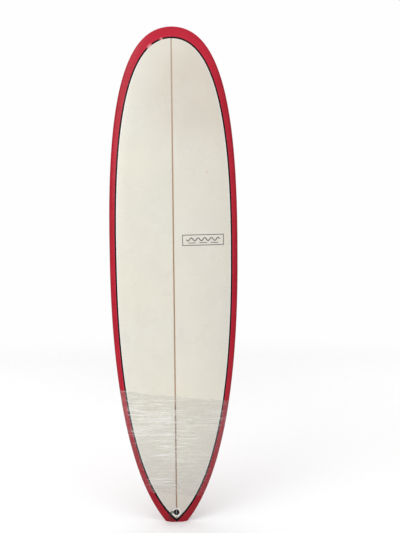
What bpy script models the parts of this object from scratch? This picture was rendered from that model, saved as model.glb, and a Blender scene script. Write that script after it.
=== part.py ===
"""A 7 ft 2 in surfboard, modelled in the layers and fittings that it is built from.

Frame: the board stands upright. +Z runs from the tail to the nose and the deck faces -Y, so the fins
stand out towards +Y. The origin is the centre of the flat end of the tail. Lengths are in metres.
"""

import math

import bmesh
import bpy
import numpy as np
from mathutils import Matrix, Vector

MM = 0.001

# Driving dimensions of the shape
LENGTH = 2.184
HALF_WIDTH = 0.28575
WIDE_POINT = 1.245
THICKNESS = 0.070
THICK_POINT = 1.09
NOSE_TIP_THICKNESS = 0.015
TAIL_END_THICKNESS = 0.016
NOSE_ROCKER = 0.108
TAIL_ROCKER = 0.052
ROCKER_LOW_POINT = 1.0
APEX_SHARE = 0.42
DECK_CROWN_POWER = 2.6
DECK_CROWN_ROOT = 1.9
RAIL_TUCK_TAIL = 0.018
RAIL_TUCK_MIDDLE = 0.048

# Handles of the plan curves, right half, as (x, z)
NOSE_HANDLE = 0.207
SHOULDER_HANDLE = 0.629
HIP_HANDLE = 0.174
TAIL_CORNER = (0.058, 0.0126)
TAIL_HANDLE = (0.294, 0.319)
TAIL_FLAT_HALF = 0.038

# Cut lap: the line on the deck where the red skin ends, under the pinline
LAP_NOSE = 0.046
LAP_SIDE = 0.0285
LAP_TAIL = 0.008
LAP_NOSE_HANDLE = 0.190
LAP_SHOULDER_HANDLE = 0.544
LAP_HIP_HANDLE = 0.225
LAP_TAIL_HANDLE = (0.262, 0.233)
PINLINE_WIDTH = 0.007

# Layers
SKIN = 1.0 * MM
GAP = 0.3 * MM
CORE_DEPTH = SKIN + 0.4 * MM
CORE_TAIL = 3.0 * MM
EDGE = PINLINE_WIDTH / 2 + GAP
STRINGER_WIDTH = 5.0 * MM
FILM = 0.5 * MM
EMBLEM_THICKNESS = 0.3 * MM

# Stretch wrap, heights from the tail
WRAP_TOP_LEFT = 0.605
WRAP_TOP_RIGHT = 0.553
WRAP_HALF_SPAN = 0.23
WRAP_SPLIT = 0.440
WRAP_FOOT = 0.125
WRAP_WAIST = (0.212, 0.280)
WRAP_RAIL_LINE = (0.0106, 0.0762)

# Emblem on the right half of the deck
EMBLEM_SIZE = (0.184, 0.0485)
EMBLEM_CENTRE = (0.1305, 1.279)
EMBLEM_TILT = math.radians(0.9)

# Leash cup
CUP_HEIGHT = 0.045
CUP_RADIUS = 12.5 * MM
CUP_RIM_RADIUS = 13.5 * MM
CUP_BORE = 10.0 * MM
CUP_DEPTH = 14.5 * MM
CUP_FLOOR = 2.0 * MM
PIN_RADIUS = 1.5 * MM
PIN_DEPTH = 6.5 * MM
PIN_HALF_LENGTH = 11.0 * MM
STRING_RADIUS = 1.3 * MM
KNOT_RADIUS = 2.9 * MM

# Fin boxes, fins and set screws; heights are those of the middle of the fin's base
CENTRE_FIN_HEIGHT = 0.146
SIDE_FIN_HEIGHT = 0.349
SIDE_FIN_OFFSET = 0.156
SIDE_FIN_TOE = math.radians(3.2)
SIDE_FIN_CANT = math.radians(5.0)
BOX_LENGTH = 0.118
POD_RADIUS = 14.5 * MM
BOX_WAIST = 7.5 * MM
BOX_DEPTH = 17.0 * MM
POD_SPACING = BOX_LENGTH - 2 * POD_RADIUS
SLOT_LENGTH = 23.0 * MM
SLOT_WIDTH = 6.0 * MM
SLOT_DEPTH = 14.0 * MM
FIN_BASE = 0.114
FIN_DEPTH = 0.117
FIN_THICKNESS = 6.4 * MM
FIN_TIP_SWEEP = 0.075
SCREW_RADIUS = 2.5 * MM
SCREW_LENGTH = 6.0 * MM
SCREW_TILT = math.radians(28)
SCREW_OFFSET = 8.6 * MM

DECK, BOTTOM = "deck", "bottom"
RIGHT, LEFT = 1, -1


# ---------------------------------------------------------------- scene and materials

def clear_scene():
    for obj in list(bpy.data.objects):
        bpy.data.objects.remove(obj, do_unlink=True)


def make_material(name, colour, roughness, metallic=0.0, alpha=1.0):
    material = bpy.data.materials.new(name)
    material.use_nodes = True
    shader = material.node_tree.nodes["Principled BSDF"]
    shader.inputs["Base Color"].default_value = (*colour, 1.0)
    shader.inputs["Roughness"].default_value = roughness
    shader.inputs["Metallic"].default_value = metallic
    shader.inputs["Alpha"].default_value = alpha
    return material


def make_materials():
    return {
        "foam": make_material("foam", (0.86, 0.83, 0.74), 0.90),
        "wood": make_material("wood", (0.55, 0.38, 0.22), 0.60),
        "cream": make_material("cream", (0.80, 0.77, 0.65), 0.15),
        "red": make_material("red", (0.52, 0.012, 0.035), 0.12),
        "black_line": make_material("black_line", (0.01, 0.01, 0.011), 0.20),
        "print": make_material("print", (0.16, 0.14, 0.17), 0.40),
        "black_plastic": make_material("black_plastic", (0.02, 0.02, 0.022), 0.35),
        "steel": make_material("steel", (0.62, 0.62, 0.63), 0.25, 1.0),
        "string": make_material("string", (0.02, 0.02, 0.02), 0.80),
        "fin": make_material("fin", (0.03, 0.03, 0.034), 0.30),
        "film": make_material("film", (0.90, 0.92, 0.94), 0.10, 0.0, 0.25),
    }


def add_mesh_object(name, bm, material, matrix=None):
    """Turn a bmesh into an object whose faces point out."""
    bmesh.ops.remove_doubles(bm, verts=bm.verts, dist=0.002 * MM)
    bmesh.ops.recalc_face_normals(bm, faces=bm.faces)
    mesh = bpy.data.meshes.new(name)
    bm.to_mesh(mesh)
    bm.free()
    mesh.materials.append(material)
    mesh.shade_smooth()
    mesh.set_sharp_from_angle(angle=math.radians(35))
    obj = bpy.data.objects.new(name, mesh)
    bpy.context.collection.objects.link(obj)
    if matrix is not None:
        obj.matrix_world = matrix
    return obj


def add_boolean(target, cutter, operation="DIFFERENCE"):
    modifier = target.modifiers.new(operation.lower(), "BOOLEAN")
    modifier.operation = operation
    modifier.object = cutter
    modifier.solver = "EXACT"
    cutter.hide_render = True
    cutter.display_type = "WIRE"


# ---------------------------------------------------------------- plan curves

def bezier(start, handle_a, handle_b, end, t):
    t = np.asarray(t, float)[:, None]
    start, handle_a, handle_b, end = (np.array(p, float) for p in (start, handle_a, handle_b, end))
    return ((1 - t) ** 3 * start + 3 * (1 - t) ** 2 * t * handle_a
            + 3 * (1 - t) * t ** 2 * handle_b + t ** 3 * end)


def outline_curve(t_nose, t_tail, t_corner):
    """Right half of the plan shape, from the nose to the flat end of the tail."""
    wide = (HALF_WIDTH, WIDE_POINT)
    nose = bezier((0, LENGTH), (NOSE_HANDLE, LENGTH),
                  (HALF_WIDTH, WIDE_POINT + SHOULDER_HANDLE), wide, t_nose)
    tail = bezier(wide, (HALF_WIDTH, WIDE_POINT - HIP_HANDLE), TAIL_HANDLE, TAIL_CORNER, t_tail)
    corner_x, corner_z = TAIL_CORNER
    lead = 0.65 * corner_z
    slope = (TAIL_HANDLE[0] - corner_x) / (TAIL_HANDLE[1] - corner_z)
    corner = bezier(TAIL_CORNER, (corner_x - lead * slope, corner_z - lead),
                    (TAIL_FLAT_HALF + 0.012, 0), (TAIL_FLAT_HALF, 0), t_corner)
    return np.vstack([nose, tail[1:], corner[1:]])


def lap_curve(t_nose, t_tail):
    """Right half of the cut lap's line, from the nose to its point at the tail."""
    side = HALF_WIDTH - LAP_SIDE
    top = LENGTH - LAP_NOSE
    nose = bezier((0, top), (LAP_NOSE_HANDLE, top),
                  (side, WIDE_POINT + LAP_SHOULDER_HANDLE), (side, WIDE_POINT), t_nose)
    tail = bezier((side, WIDE_POINT), (side, WIDE_POINT - LAP_HIP_HANDLE), LAP_TAIL_HANDLE,
                  (0, LAP_TAIL), t_tail)
    return np.vstack([nose, tail[1:]])


def inset(curve, distance):
    """Move an open curve inwards, towards the centre line, by a distance."""
    along = np.gradient(curve, axis=0)
    along[0] = (1, 0)
    along[-1] = (-1, 0)
    along /= np.linalg.norm(along, axis=1)[:, None]
    inward = np.column_stack([along[:, 1], -along[:, 0]])
    moved = curve + distance * inward
    moved[0, 0] = 0.0
    return moved


FINE_OUTLINE = outline_curve(np.linspace(0, 1, 121), np.linspace(0, 1, 121), np.linspace(0, 1, 13))


def half_width_at(z):
    return float(np.interp(z, FINE_OUTLINE[::-1, 1], FINE_OUTLINE[::-1, 0]))


def distance_to_outline(x, z):
    """Plan distance from the rail in to a point, less than 0 outside; the tail's end isn't counted."""
    a = FINE_OUTLINE[:-1]
    b = FINE_OUTLINE[1:]
    point = np.array([abs(x), z])
    edge = b - a
    share = np.clip(((point - a) * edge).sum(1) / (edge ** 2).sum(1), 0, 1)
    nearest = a + share[:, None] * edge
    distance = float(np.linalg.norm(point - nearest, axis=1).min())
    return -distance if abs(x) >= half_width_at(z) else distance


# ---------------------------------------------------------------- surfaces of the hull

def rocker(z):
    """Rise of the bottom's centre line towards the deck side."""
    nose = max(0.0, (z - ROCKER_LOW_POINT) / (LENGTH - ROCKER_LOW_POINT))
    tail = max(0.0, (ROCKER_LOW_POINT - z) / ROCKER_LOW_POINT)
    return NOSE_ROCKER * nose ** 2.4 + TAIL_ROCKER * tail ** 2.2


def thickness(z):
    if z > THICK_POINT:
        share = (z - THICK_POINT) / (LENGTH - THICK_POINT)
        return NOSE_TIP_THICKNESS + (THICKNESS - NOSE_TIP_THICKNESS) * (1 - share ** 2.3)
    share = (THICK_POINT - z) / THICK_POINT
    return TAIL_END_THICKNESS + (THICKNESS - TAIL_END_THICKNESS) * (1 - share ** 2.4)


BOTTOM_AT_TAIL = TAIL_END_THICKNESS / 2


def bottom_line(z):
    return BOTTOM_AT_TAIL + TAIL_ROCKER - rocker(z)


def quarter(share, power, root):
    """Rise from 0 to 1 of a superellipse's quarter, as share goes from 0 to 1."""
    share = min(max(share, 0.0), 1.0)
    return (1 - (1 - share) ** power) ** (1 / root)


def surface_point(x, z, side, depth=0.0):
    """A point of the hull's surface, or of the surface a depth under it, at a place in plan."""
    full = thickness(z)
    apex = APEX_SHARE * full
    rail_distance = max(0.0, distance_to_outline(x, z) - depth)
    if side == DECK:
        reach = max(half_width_at(z) - depth, 1e-4)
        rise = quarter(rail_distance / reach, DECK_CROWN_POWER, DECK_CROWN_ROOT)
        height = apex + (full - depth - apex) * rise
    else:
        middle = min(1.0, max(0.0, z) / ROCKER_LOW_POINT) ** 2
        reach = RAIL_TUCK_TAIL + (RAIL_TUCK_MIDDLE - RAIL_TUCK_TAIL) * middle
        height = apex - (apex - depth) * quarter(rail_distance / reach, 2.0, 2.0)
    return Vector((x, bottom_line(z) - height, z))


# ---------------------------------------------------------------- grids over the hull

NOSE_STEPS = np.linspace(0, 1, 13) ** 1.2
TAIL_STEPS = np.linspace(0, 1, 12)
CORNER_STEPS = np.linspace(0, 1, 4)
LAP_SHARE_AT_CORNER = 0.975
TAIL_LAP_STEPS = np.append(TAIL_STEPS * LAP_SHARE_AT_CORNER,
                           np.linspace(LAP_SHARE_AT_CORNER, 1, len(CORNER_STEPS))[1:])
RAIL_SHARES = (0.0, 0.07, 0.28, 0.6)
DECK_SHARES = (0.82, 0.55, 0.25)
BOTTOM_SHARES = (0.985, 0.955, 0.90, 0.80, 0.55, 0.25)


def outline_stations(depth):
    return inset(outline_curve(NOSE_STEPS, TAIL_STEPS, CORNER_STEPS), depth)


def lap_stations(offset):
    """The lap line, moved towards the centre line by an offset."""
    curve = inset(lap_curve(NOSE_STEPS, TAIL_LAP_STEPS), offset)
    curve[:, 0] = np.maximum(curve[:, 0], 0.0)
    curve[-1] = (0.0, LAP_TAIL + 1.4 * offset)
    return curve


def rail_path(rail, lap, depth):
    """Points on the deck side, from the rail's apex in to the lap line."""
    return [surface_point(*(rail + (lap - rail) * s), DECK, depth) for s in (*RAIL_SHARES, 1.0)]


def bottom_path(rail, depth):
    """Points on the bottom, from beside the rail's apex in to beside the centre line."""
    return [surface_point(rail[0] * s, rail[1], BOTTOM, depth) for s in BOTTOM_SHARES]


def mirrored(points):
    return [Vector((-p.x, p.y, p.z)) for p in points]


def bridge_grid(bm, rows, flip=False):
    """Faces between rows of points; returns the rows as vertices."""
    grid = [[bm.verts.new(p) for p in row] for row in rows]
    for upper, lower in zip(grid, grid[1:]):
        for k in range(len(upper) - 1):
            for corners in ([upper[k], upper[k + 1], lower[k + 1]], [upper[k], lower[k + 1], lower[k]]):
                bm.faces.new(corners[::-1] if flip else corners)
    return grid


def bridge_halves(bm, rows, flip=False):
    """Faces of the right half and of its mirror image; returns both grids."""
    return [bridge_grid(bm, rows, flip),
            bridge_grid(bm, [mirrored(row) for row in rows], not flip)]


def column(grid, index):
    return [row[index] for row in grid]


def join_edges(bm, edge_a, edge_b):
    """A wall between two equal strings of vertices."""
    for k in range(len(edge_a) - 1):
        bm.faces.new([edge_a[k], edge_a[k + 1], edge_b[k + 1], edge_b[k]])


def sheet_solid(outer_rows, inner_rows):
    """A closed sheet from its outer and inner grids."""
    bm = bmesh.new()
    outer = bridge_grid(bm, outer_rows)
    inner = bridge_grid(bm, inner_rows, flip=True)
    join_edges(bm, outer[0], inner[0])
    join_edges(bm, outer[-1], inner[-1])
    join_edges(bm, [row[0] for row in outer], [row[0] for row in inner])
    join_edges(bm, [row[-1] for row in outer], [row[-1] for row in inner])
    return bm


def hull_rows(depth):
    """Right half sections of the whole hull at a depth: centre of the deck round to centre of the bottom."""
    rows = []
    for rail, inner, outer in zip(outline_stations(depth), lap_stations(EDGE), lap_stations(-EDGE)):
        deck = [surface_point(inner[0] * s, inner[1], DECK, depth) for s in (0.0, *DECK_SHARES[::-1], 1.0)]
        row = deck + rail_path(rail, outer, depth)[::-1]
        row += bottom_path(rail, depth) + [surface_point(0.0, rail[1], BOTTOM, depth)]
        rows.append(row)
    return rows


def close_tail(bm, last_row, depth, flip):
    """The hull's flat end and the strip of deck between it and the lap's point, right half and left."""
    lap = len(RAIL_SHARES) + 1
    deck_edge = [surface_point(p.x, depth, DECK, depth) for p in last_row[:lap]]
    bridge_halves(bm, [last_row[:lap], deck_edge], flip)
    half = deck_edge + last_row[lap:]
    for outline in (half, mirrored(half)[::-1]):
        face = [bm.verts.new(p) for p in outline]
        bm.faces.new(face[::-1] if flip else face)


def hull_solid(depth):
    """The whole hull at a depth under its surface, as one closed solid."""
    bm = bmesh.new()
    rows = hull_rows(depth)
    bridge_halves(bm, rows)
    close_tail(bm, rows[-1][len(DECK_SHARES) + 2:], depth, False)
    return bm


# ---------------------------------------------------------------- blank, stringer and skins

def cut_at(bm, point, keep):
    """Keep what lies on one side of a plane through a point, and close the cut."""
    bmesh.ops.remove_doubles(bm, verts=bm.verts, dist=0.002 * MM)
    bmesh.ops.dissolve_degenerate(bm, dist=0.002 * MM, edges=bm.edges)
    bmesh.ops.bisect_plane(bm, geom=bm.verts[:] + bm.edges[:] + bm.faces[:], plane_co=point,
                           plane_no=keep, clear_inner=True)
    rim = [edge for edge in bm.edges if edge.is_boundary]
    bmesh.ops.holes_fill(bm, edges=rim, sides=0)


def core_solid():
    """The hull inside the skins, cut square a little way in from the tail's flat end."""
    bm = hull_solid(CORE_DEPTH)
    cut_at(bm, (0, 0, CORE_TAIL), (0, 0, 1))
    return bm


def make_blank_half(name, side, material):
    bm = core_solid()
    cut_at(bm, (side * (STRINGER_WIDTH / 2 + GAP), 0, 0), (side, 0, 0))
    return add_mesh_object(name, bm, material)


def make_stringer(material):
    bm = core_solid()
    cut_at(bm, (-STRINGER_WIDTH / 2, 0, 0), (1, 0, 0))
    cut_at(bm, (STRINGER_WIDTH / 2, 0, 0), (-1, 0, 0))
    return add_mesh_object("stringer", bm, material)


def deck_rows(depth):
    """Right half rows of the deck skin, from the centre line out to the lap."""
    shares = (0.0, *DECK_SHARES[::-1], 1.0)
    return [[surface_point(x * share, z, DECK, depth) for share in shares]
            for x, z in lap_stations(EDGE)]


def make_deck_laminate(material):
    bm = bmesh.new()
    outer = bridge_halves(bm, deck_rows(0.0))
    inner = bridge_halves(bm, deck_rows(SKIN), flip=True)
    for top, under in zip(outer, inner):
        join_edges(bm, column(top, -1), column(under, -1))
    return add_mesh_object("deck_laminate", bm, material)


def pinline_rows(depth):
    pairs = zip(lap_stations(-PINLINE_WIDTH / 2), lap_stations(PINLINE_WIDTH / 2))
    return [[surface_point(*place, DECK, depth) for place in pair] for pair in pairs]


def make_pinline(material):
    """A ring in the gap between the two skins, as deep as they are."""
    bm = bmesh.new()
    outer = bridge_halves(bm, pinline_rows(0.0))
    inner = bridge_halves(bm, pinline_rows(SKIN), flip=True)
    for top, under in zip(outer, inner):
        for edge in (0, -1):
            join_edges(bm, column(top, edge), column(under, edge))
    return add_mesh_object("deck_pinline", bm, material)


def red_rows(depth):
    """Right half rows of the red skin: from the lap, round the rail, to the bottom's centre line."""
    return [rail_path(rail, lap, depth)[::-1] + bottom_path(rail, depth)
            + [surface_point(0.0, rail[1], BOTTOM, depth)]
            for rail, lap in zip(outline_stations(depth), lap_stations(-EDGE))]


def make_bottom_laminate(material):
    """The red skin: bottom, rails, the flat end of the tail and the lap onto the deck."""
    bm = bmesh.new()
    grids = []
    for depth, flip in ((0.0, False), (SKIN, True)):
        rows = red_rows(depth)
        grids.append(bridge_halves(bm, rows, flip))
        close_tail(bm, rows[-1], depth, flip)
    for outer, inner in zip(*grids):
        join_edges(bm, column(outer, 0), column(inner, 0))
    return add_mesh_object("bottom_laminate", bm, material)


# ---------------------------------------------------------------- emblem and stretch wrap

def make_emblem(material):
    """A thin print on the deck that follows its crown."""
    across = np.linspace(-0.5, 0.5, 17) * EMBLEM_SIZE[0]
    along = np.linspace(0.5, -0.5, 3) * EMBLEM_SIZE[1]
    tilt = Matrix.Rotation(EMBLEM_TILT, 2)
    centre = Vector(EMBLEM_CENTRE)

    def rows(depth):
        return [[surface_point(*(centre + tilt @ Vector((a, b))), DECK, depth) for a in across]
                for b in along]

    bm = sheet_solid(rows(-GAP - EMBLEM_THICKNESS), rows(-GAP))
    return add_mesh_object("deck_emblem", bm, material)


def wrap_band(name, top_left, top_right, foot, notches, material):
    """Film of even thickness round the whole board, between two heights, less the notches."""
    film = add_mesh_object(name, hull_solid(-GAP - FILM), material)
    reach = 2 * HALF_WIDTH
    middle, half_rise = (top_left + top_right) / 2, (top_left - top_right) / 2
    rise = half_rise * reach / WRAP_HALF_SPAN
    outline = [(-reach, foot), (reach, foot), (reach, middle - rise), (-reach, middle + rise)]
    add_boolean(film, plate(f"cut_band_{name}", outline, (-1.0, -1.0), 1.0, material), "INTERSECT")
    for place, low, high in notches:
        outline = [(-reach, low), (reach, low), (reach, high), (-reach, high)]
        add_boolean(film, plate(f"cut_wrap_{place}", outline, WRAP_RAIL_LINE, 0.5, material))
    add_boolean(film, add_mesh_object(f"cut_core_{name}", hull_solid(-GAP), material))
    return film


def plate(name, outline, near, far, material):
    """A prism along Y over an outline in (x, z); near is (y at z=0, y at z=1) of its front face."""
    bm = bmesh.new()
    front = [bm.verts.new((x, near[0] + (near[1] - near[0]) * z, z)) for x, z in outline]
    back = [bm.verts.new((x, far, z)) for x, z in outline]
    bm.faces.new(front)
    bm.faces.new(back[::-1])
    join_edges(bm, front + front[:1], back + back[:1])
    return add_mesh_object(name, bm, material)


def make_upper_wrap(material):
    wrap_band("stretch_wrap_upper", WRAP_TOP_LEFT, WRAP_TOP_RIGHT, WRAP_SPLIT, (), material)


def make_lower_wrap(material):
    """Full height on the deck; on the bottom it is a strip between the side and centre fins."""
    top = WRAP_SPLIT - GAP
    notches = (("above", WRAP_WAIST[1], 0.6), ("below", 0.05, WRAP_WAIST[0]))
    wrap_band("stretch_wrap_lower", top, top, WRAP_FOOT, notches, material)


# ---------------------------------------------------------------- leash cup

CUP_FRAME = Matrix.Translation(surface_point(0.0, CUP_HEIGHT, DECK)) @ Matrix((
    (1, 0, 0, 0), (0, 0, -1, 0), (0, 1, 0, 0), (0, 0, 0, 1)))


def turned_solid(profile, steps):
    """A solid of revolution about Z from (radius, height) points, the first and last on the axis."""
    bm = bmesh.new()
    points = [bm.verts.new((r, 0, h)) for r, h in profile]
    edges = [bm.edges.new(pair) for pair in zip(points, points[1:])]
    bmesh.ops.spin(bm, geom=points + edges, cent=(0, 0, 0), axis=(0, 0, 1), angle=math.tau,
                   steps=steps, use_duplicate=False)
    return bm


def make_cylinder(name, radius, low, high, material, matrix, steps=20):
    bm = turned_solid([(0, high), (radius, high), (radius, low), (0, low)], steps)
    return add_mesh_object(name, bm, material, matrix)


def make_leash_cup(material):
    profile = [(0, -CUP_DEPTH + CUP_FLOOR), (CUP_BORE - 2 * MM, -CUP_DEPTH + CUP_FLOOR),
               (CUP_BORE, -CUP_DEPTH + 2 * CUP_FLOOR), (CUP_BORE, 0), (CUP_RIM_RADIUS, 0),
               (CUP_RIM_RADIUS, -1.2 * MM), (CUP_RADIUS, -2.0 * MM), (CUP_RADIUS, -CUP_DEPTH),
               (0, -CUP_DEPTH)]
    cup = add_mesh_object("leash_cup", turned_solid(profile, 28), material, CUP_FRAME)
    frame = pin_frame()
    hole = make_cylinder("cut_pin_hole", PIN_RADIUS + GAP, -PIN_HALF_LENGTH - GAP,
                         PIN_HALF_LENGTH + GAP, material, frame, 12)
    add_boolean(cup, hole)
    return cup


def pin_frame():
    """The pin lies along the board, across the cup's bore."""
    turn = Matrix.Rotation(math.radians(90), 4, "X")
    return CUP_FRAME @ Matrix.Translation((0, 0, -PIN_DEPTH)) @ turn


def make_leash_pin(material):
    return make_cylinder("leash_pin", PIN_RADIUS, -PIN_HALF_LENGTH, PIN_HALF_LENGTH, material,
                         pin_frame(), 12)


def make_cup_cutter(material):
    profile = [(0, 5 * MM), (CUP_RIM_RADIUS + GAP, 5 * MM), (CUP_RIM_RADIUS + GAP, -1.6 * MM),
               (CUP_RADIUS + GAP, -2.4 * MM), (CUP_RADIUS + GAP, -CUP_DEPTH - GAP),
               (0, -CUP_DEPTH - GAP)]
    return add_mesh_object("cut_cup", turned_solid(profile, 28), material, CUP_FRAME)


# The string's own route: from the knot, under the pin, out over the rim, round on the tail and back.
# In the cup a point is (across, along, height over the deck) from the cup's middle; on the deck it is
# a place in plan (x, z).
STRING_IN_CUP = ((3.6, 1.7, -3.2), (3.5, 1.7, -6.6), (1.6, 1.7, -9.2), (-1.6, 1.7, -9.2),
                 (-4.6, 1.8, -5.6), (-7.0, 2.2, -1.0), (-8.9, 2.5, 1.45), (-11.6, 2.8, 2.0))
STRING_ON_DECK = ((-0.0185, 0.0492), (-0.0245, 0.0470), (-0.0295, 0.0415), (-0.0325, 0.0335),
                  (-0.0345, 0.0250), (-0.0345, 0.0165), (-0.0310, 0.0095), (-0.0245, 0.0060),
                  (-0.0190, 0.0085), (-0.0195, 0.0145), (-0.0245, 0.0205), (-0.0275, 0.0275),
                  (-0.0275, 0.0345), (-0.0245, 0.0405), (-0.0190, 0.0430))
STRING_CLEARANCE = STRING_RADIUS + GAP


def string_route():
    """Hand-chosen points of the leash string, from the knot and back to it."""
    cup_out = [CUP_FRAME @ (Vector(p) * MM) for p in STRING_IN_CUP]
    cup_back = [CUP_FRAME @ (Vector((p[0], -p[1], p[2])) * MM) for p in STRING_IN_CUP[::-1]]
    on_deck = [surface_point(x, z, DECK, -STRING_CLEARANCE) for x, z in STRING_ON_DECK]
    return cup_out + on_deck + cup_back


def smooth_points(points, spacing):
    """Points at equal steps along a Catmull-Rom curve through the given points."""
    padded = [2 * points[0] - points[1], *points, 2 * points[-1] - points[-2]]
    dense = []
    for a, b, c, d in zip(padded, padded[1:], padded[2:], padded[3:]):
        for t in np.linspace(0, 1, 12, endpoint=False):
            dense.append(0.5 * (2 * b + (c - a) * t + (2 * a - 5 * b + 4 * c - d) * t ** 2
                                + (3 * b - a - 3 * c + d) * t ** 3))
    dense.append(padded[-2])
    steps = [0.0]
    for a, b in zip(dense, dense[1:]):
        steps.append(steps[-1] + (b - a).length)
    count = max(2, round(steps[-1] / spacing))
    places = np.linspace(0, steps[-1], count + 1)
    table = np.array([tuple(p) for p in dense])
    return [Vector([float(np.interp(s, steps, table[:, axis])) for axis in range(3)]) for s in places]


def make_leash_string(material):
    points = smooth_points(string_route(), 2.4 * STRING_RADIUS)
    curve = bpy.data.curves.new("leash_string", "CURVE")
    curve.dimensions = "3D"
    curve.bevel_depth = STRING_RADIUS
    curve.bevel_resolution = 2
    curve.use_fill_caps = True
    spline = curve.splines.new("POLY")
    spline.points.add(len(points) - 1)
    for target, point in zip(spline.points, points):
        target.co = (*point, 1.0)
    curve.materials.append(material)
    obj = bpy.data.objects.new("leash_string", curve)
    bpy.context.collection.objects.link(obj)
    return obj


def make_leash_knot(material):
    """The knot that joins the string's two ends, beside the pin."""
    bm = bmesh.new()
    bmesh.ops.create_icosphere(bm, subdivisions=2, radius=KNOT_RADIUS)
    bmesh.ops.scale(bm, vec=(0.8, 1.25, 0.62), verts=bm.verts)
    place = CUP_FRAME @ Matrix.Translation((3.6 * MM, 0, -3.2 * MM + GAP + 0.62 * KNOT_RADIUS))
    return add_mesh_object("leash_knot", bm, material, place)


# ---------------------------------------------------------------- fin boxes, fins and screws

def fin_frame(x, height, toe):
    """Frame of a fin: local X along its base to the nose, local Z out of the bottom."""
    step = 0.001
    slope = (bottom_line(height + step) - bottom_line(height - step)) / (2 * step)
    pitch = math.atan(slope)
    cos, sin = math.cos(pitch), math.sin(pitch)
    origin = surface_point(x, height, BOTTOM)
    turn = Matrix(((0, 1, 0, 0), (sin, 0, cos, 0), (cos, 0, -sin, 0), (0, 0, 0, 1)))
    return Matrix.Translation(origin) @ turn @ Matrix.Rotation(toe, 4, "Z")


def box_outline(grow):
    """Plan of a fin box: two round pods joined by a waist."""
    radius = POD_RADIUS + grow
    waist = BOX_WAIST + grow
    opening = math.asin(waist / radius)
    points = []
    for end in (1, -1):
        centre = end * POD_SPACING / 2
        for angle in np.linspace(-math.pi + opening, math.pi - opening, 17):
            points.append((centre + end * radius * math.cos(angle), end * radius * math.sin(angle)))
    return points


def prism(outline, low, high):
    bm = bmesh.new()
    base = bm.faces.new([bm.verts.new((x, y, low)) for x, y in outline])
    top = bmesh.ops.extrude_face_region(bm, geom=[base])
    moved = [v for v in top["geom"] if isinstance(v, bmesh.types.BMVert)]
    bmesh.ops.translate(bm, vec=(0, 0, high - low), verts=moved)
    return bm


def block(name, centre_x, length, width, low, high, material, matrix):
    """A box centred on the frame's X axis, with its ends at the two heights."""
    x0, x1 = centre_x - length / 2, centre_x + length / 2
    y = width / 2
    bm = prism([(x0, -y), (x1, -y), (x1, y), (x0, y)], low, high)
    return add_mesh_object(name, bm, material, matrix)


def pod_centres():
    return (("front", POD_SPACING / 2), ("rear", -POD_SPACING / 2))


def screw_frame(frame, centre_x, side):
    """The screw leans so that its tip meets the tab."""
    lean = Matrix.Rotation(-side * SCREW_TILT, 4, "X")
    return frame @ Matrix.Translation((centre_x, side * SCREW_OFFSET, 0)) @ lean


def make_fin_box(name, frame, side, material):
    box = add_mesh_object(name, prism(box_outline(0.0), -BOX_DEPTH, 0.0), material, frame)
    for place, centre in pod_centres():
        slot = block(f"cut_slot_{name}_{place}", centre, SLOT_LENGTH, SLOT_WIDTH,
                     -SLOT_DEPTH, 5 * MM, material, frame)
        add_boolean(box, slot)
        hole = make_cylinder(f"cut_screw_{name}_{place}", SCREW_RADIUS + GAP, -SCREW_LENGTH - 3.2 * MM,
                             5 * MM, material, screw_frame(frame, centre, side), 14)
        add_boolean(box, hole)
    return box


def make_box_cutter(name, frame, material):
    bm = prism(box_outline(GAP), -BOX_DEPTH - GAP, 6 * MM)
    return add_mesh_object(f"cut_{name}", bm, material, frame)


def hex_socket_screw(name, frame, material):
    """A headless set screw with a six-sided socket in its outer end."""
    recess = 0.8 * MM
    screw = make_cylinder(name, SCREW_RADIUS, -SCREW_LENGTH - recess, -recess, material, frame, 14)
    outline = [(1.3 * MM * math.cos(a), 1.3 * MM * math.sin(a))
               for a in np.linspace(0, math.tau, 6, endpoint=False)]
    socket = add_mesh_object(f"cut_socket_{name}", prism(outline, -recess - 2.5 * MM, 2 * MM),
                             material, frame)
    add_boolean(screw, socket)
    return screw


def fin_edges(share):
    """Fore and aft ends of the fin's chord at a share of its depth."""
    lead = bezier((FIN_BASE / 2, 0), (FIN_BASE * 0.24, FIN_DEPTH * 0.55),
                  (-FIN_BASE * 0.22, FIN_DEPTH * 1.0), (-FIN_TIP_SWEEP, FIN_DEPTH),
                  np.linspace(0, 1, 60))
    trail = bezier((-FIN_BASE / 2, 0), (-FIN_BASE * 0.36, FIN_DEPTH * 0.28),
                   (-FIN_BASE * 0.52, FIN_DEPTH * 0.72), (-FIN_TIP_SWEEP, FIN_DEPTH),
                   np.linspace(0, 1, 60))
    height = share * FIN_DEPTH
    return (float(np.interp(height, lead[:, 1], lead[:, 0])),
            float(np.interp(height, trail[:, 1], trail[:, 0])))


def foil_section(share, cant, low):
    """Points round the fin's section at a share of its depth."""
    front, back = fin_edges(share)
    height = low + share * (FIN_DEPTH - low)
    half = 0.5 * FIN_THICKNESS * (1 - 0.72 * share)
    shift = math.tan(cant) * height
    places = (1.0, 0.93, 0.78, 0.55, 0.30, 0.0)
    loop = []
    for side, order in ((1, places), (-1, places[-2:0:-1])):
        for p in order:
            swell = (1 - p) ** 0.5 * p * 2.6 if 0 < p < 1 else 0.0
            edge = 0.10 if p == 0.0 else 0.0
            loop.append(Vector((back + (front - back) * p, side * half * min(1.0, swell + edge) + shift,
                                height)))
    return loop


def make_fin_blade(name, frame, cant, material):
    low = GAP
    shares = (0.0, 0.18, 0.36, 0.54, 0.70, 0.84, 0.94, 0.985)
    bm = bmesh.new()
    rings = [foil_section(s, cant, low) for s in shares]
    bridge_grid(bm, [ring + ring[:1] for ring in rings])
    bm.faces.new([bm.verts.new(p) for p in rings[0]])
    bm.faces.new([bm.verts.new(p) for p in rings[-1][::-1]])
    return add_mesh_object(name, bm, material, frame)


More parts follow.
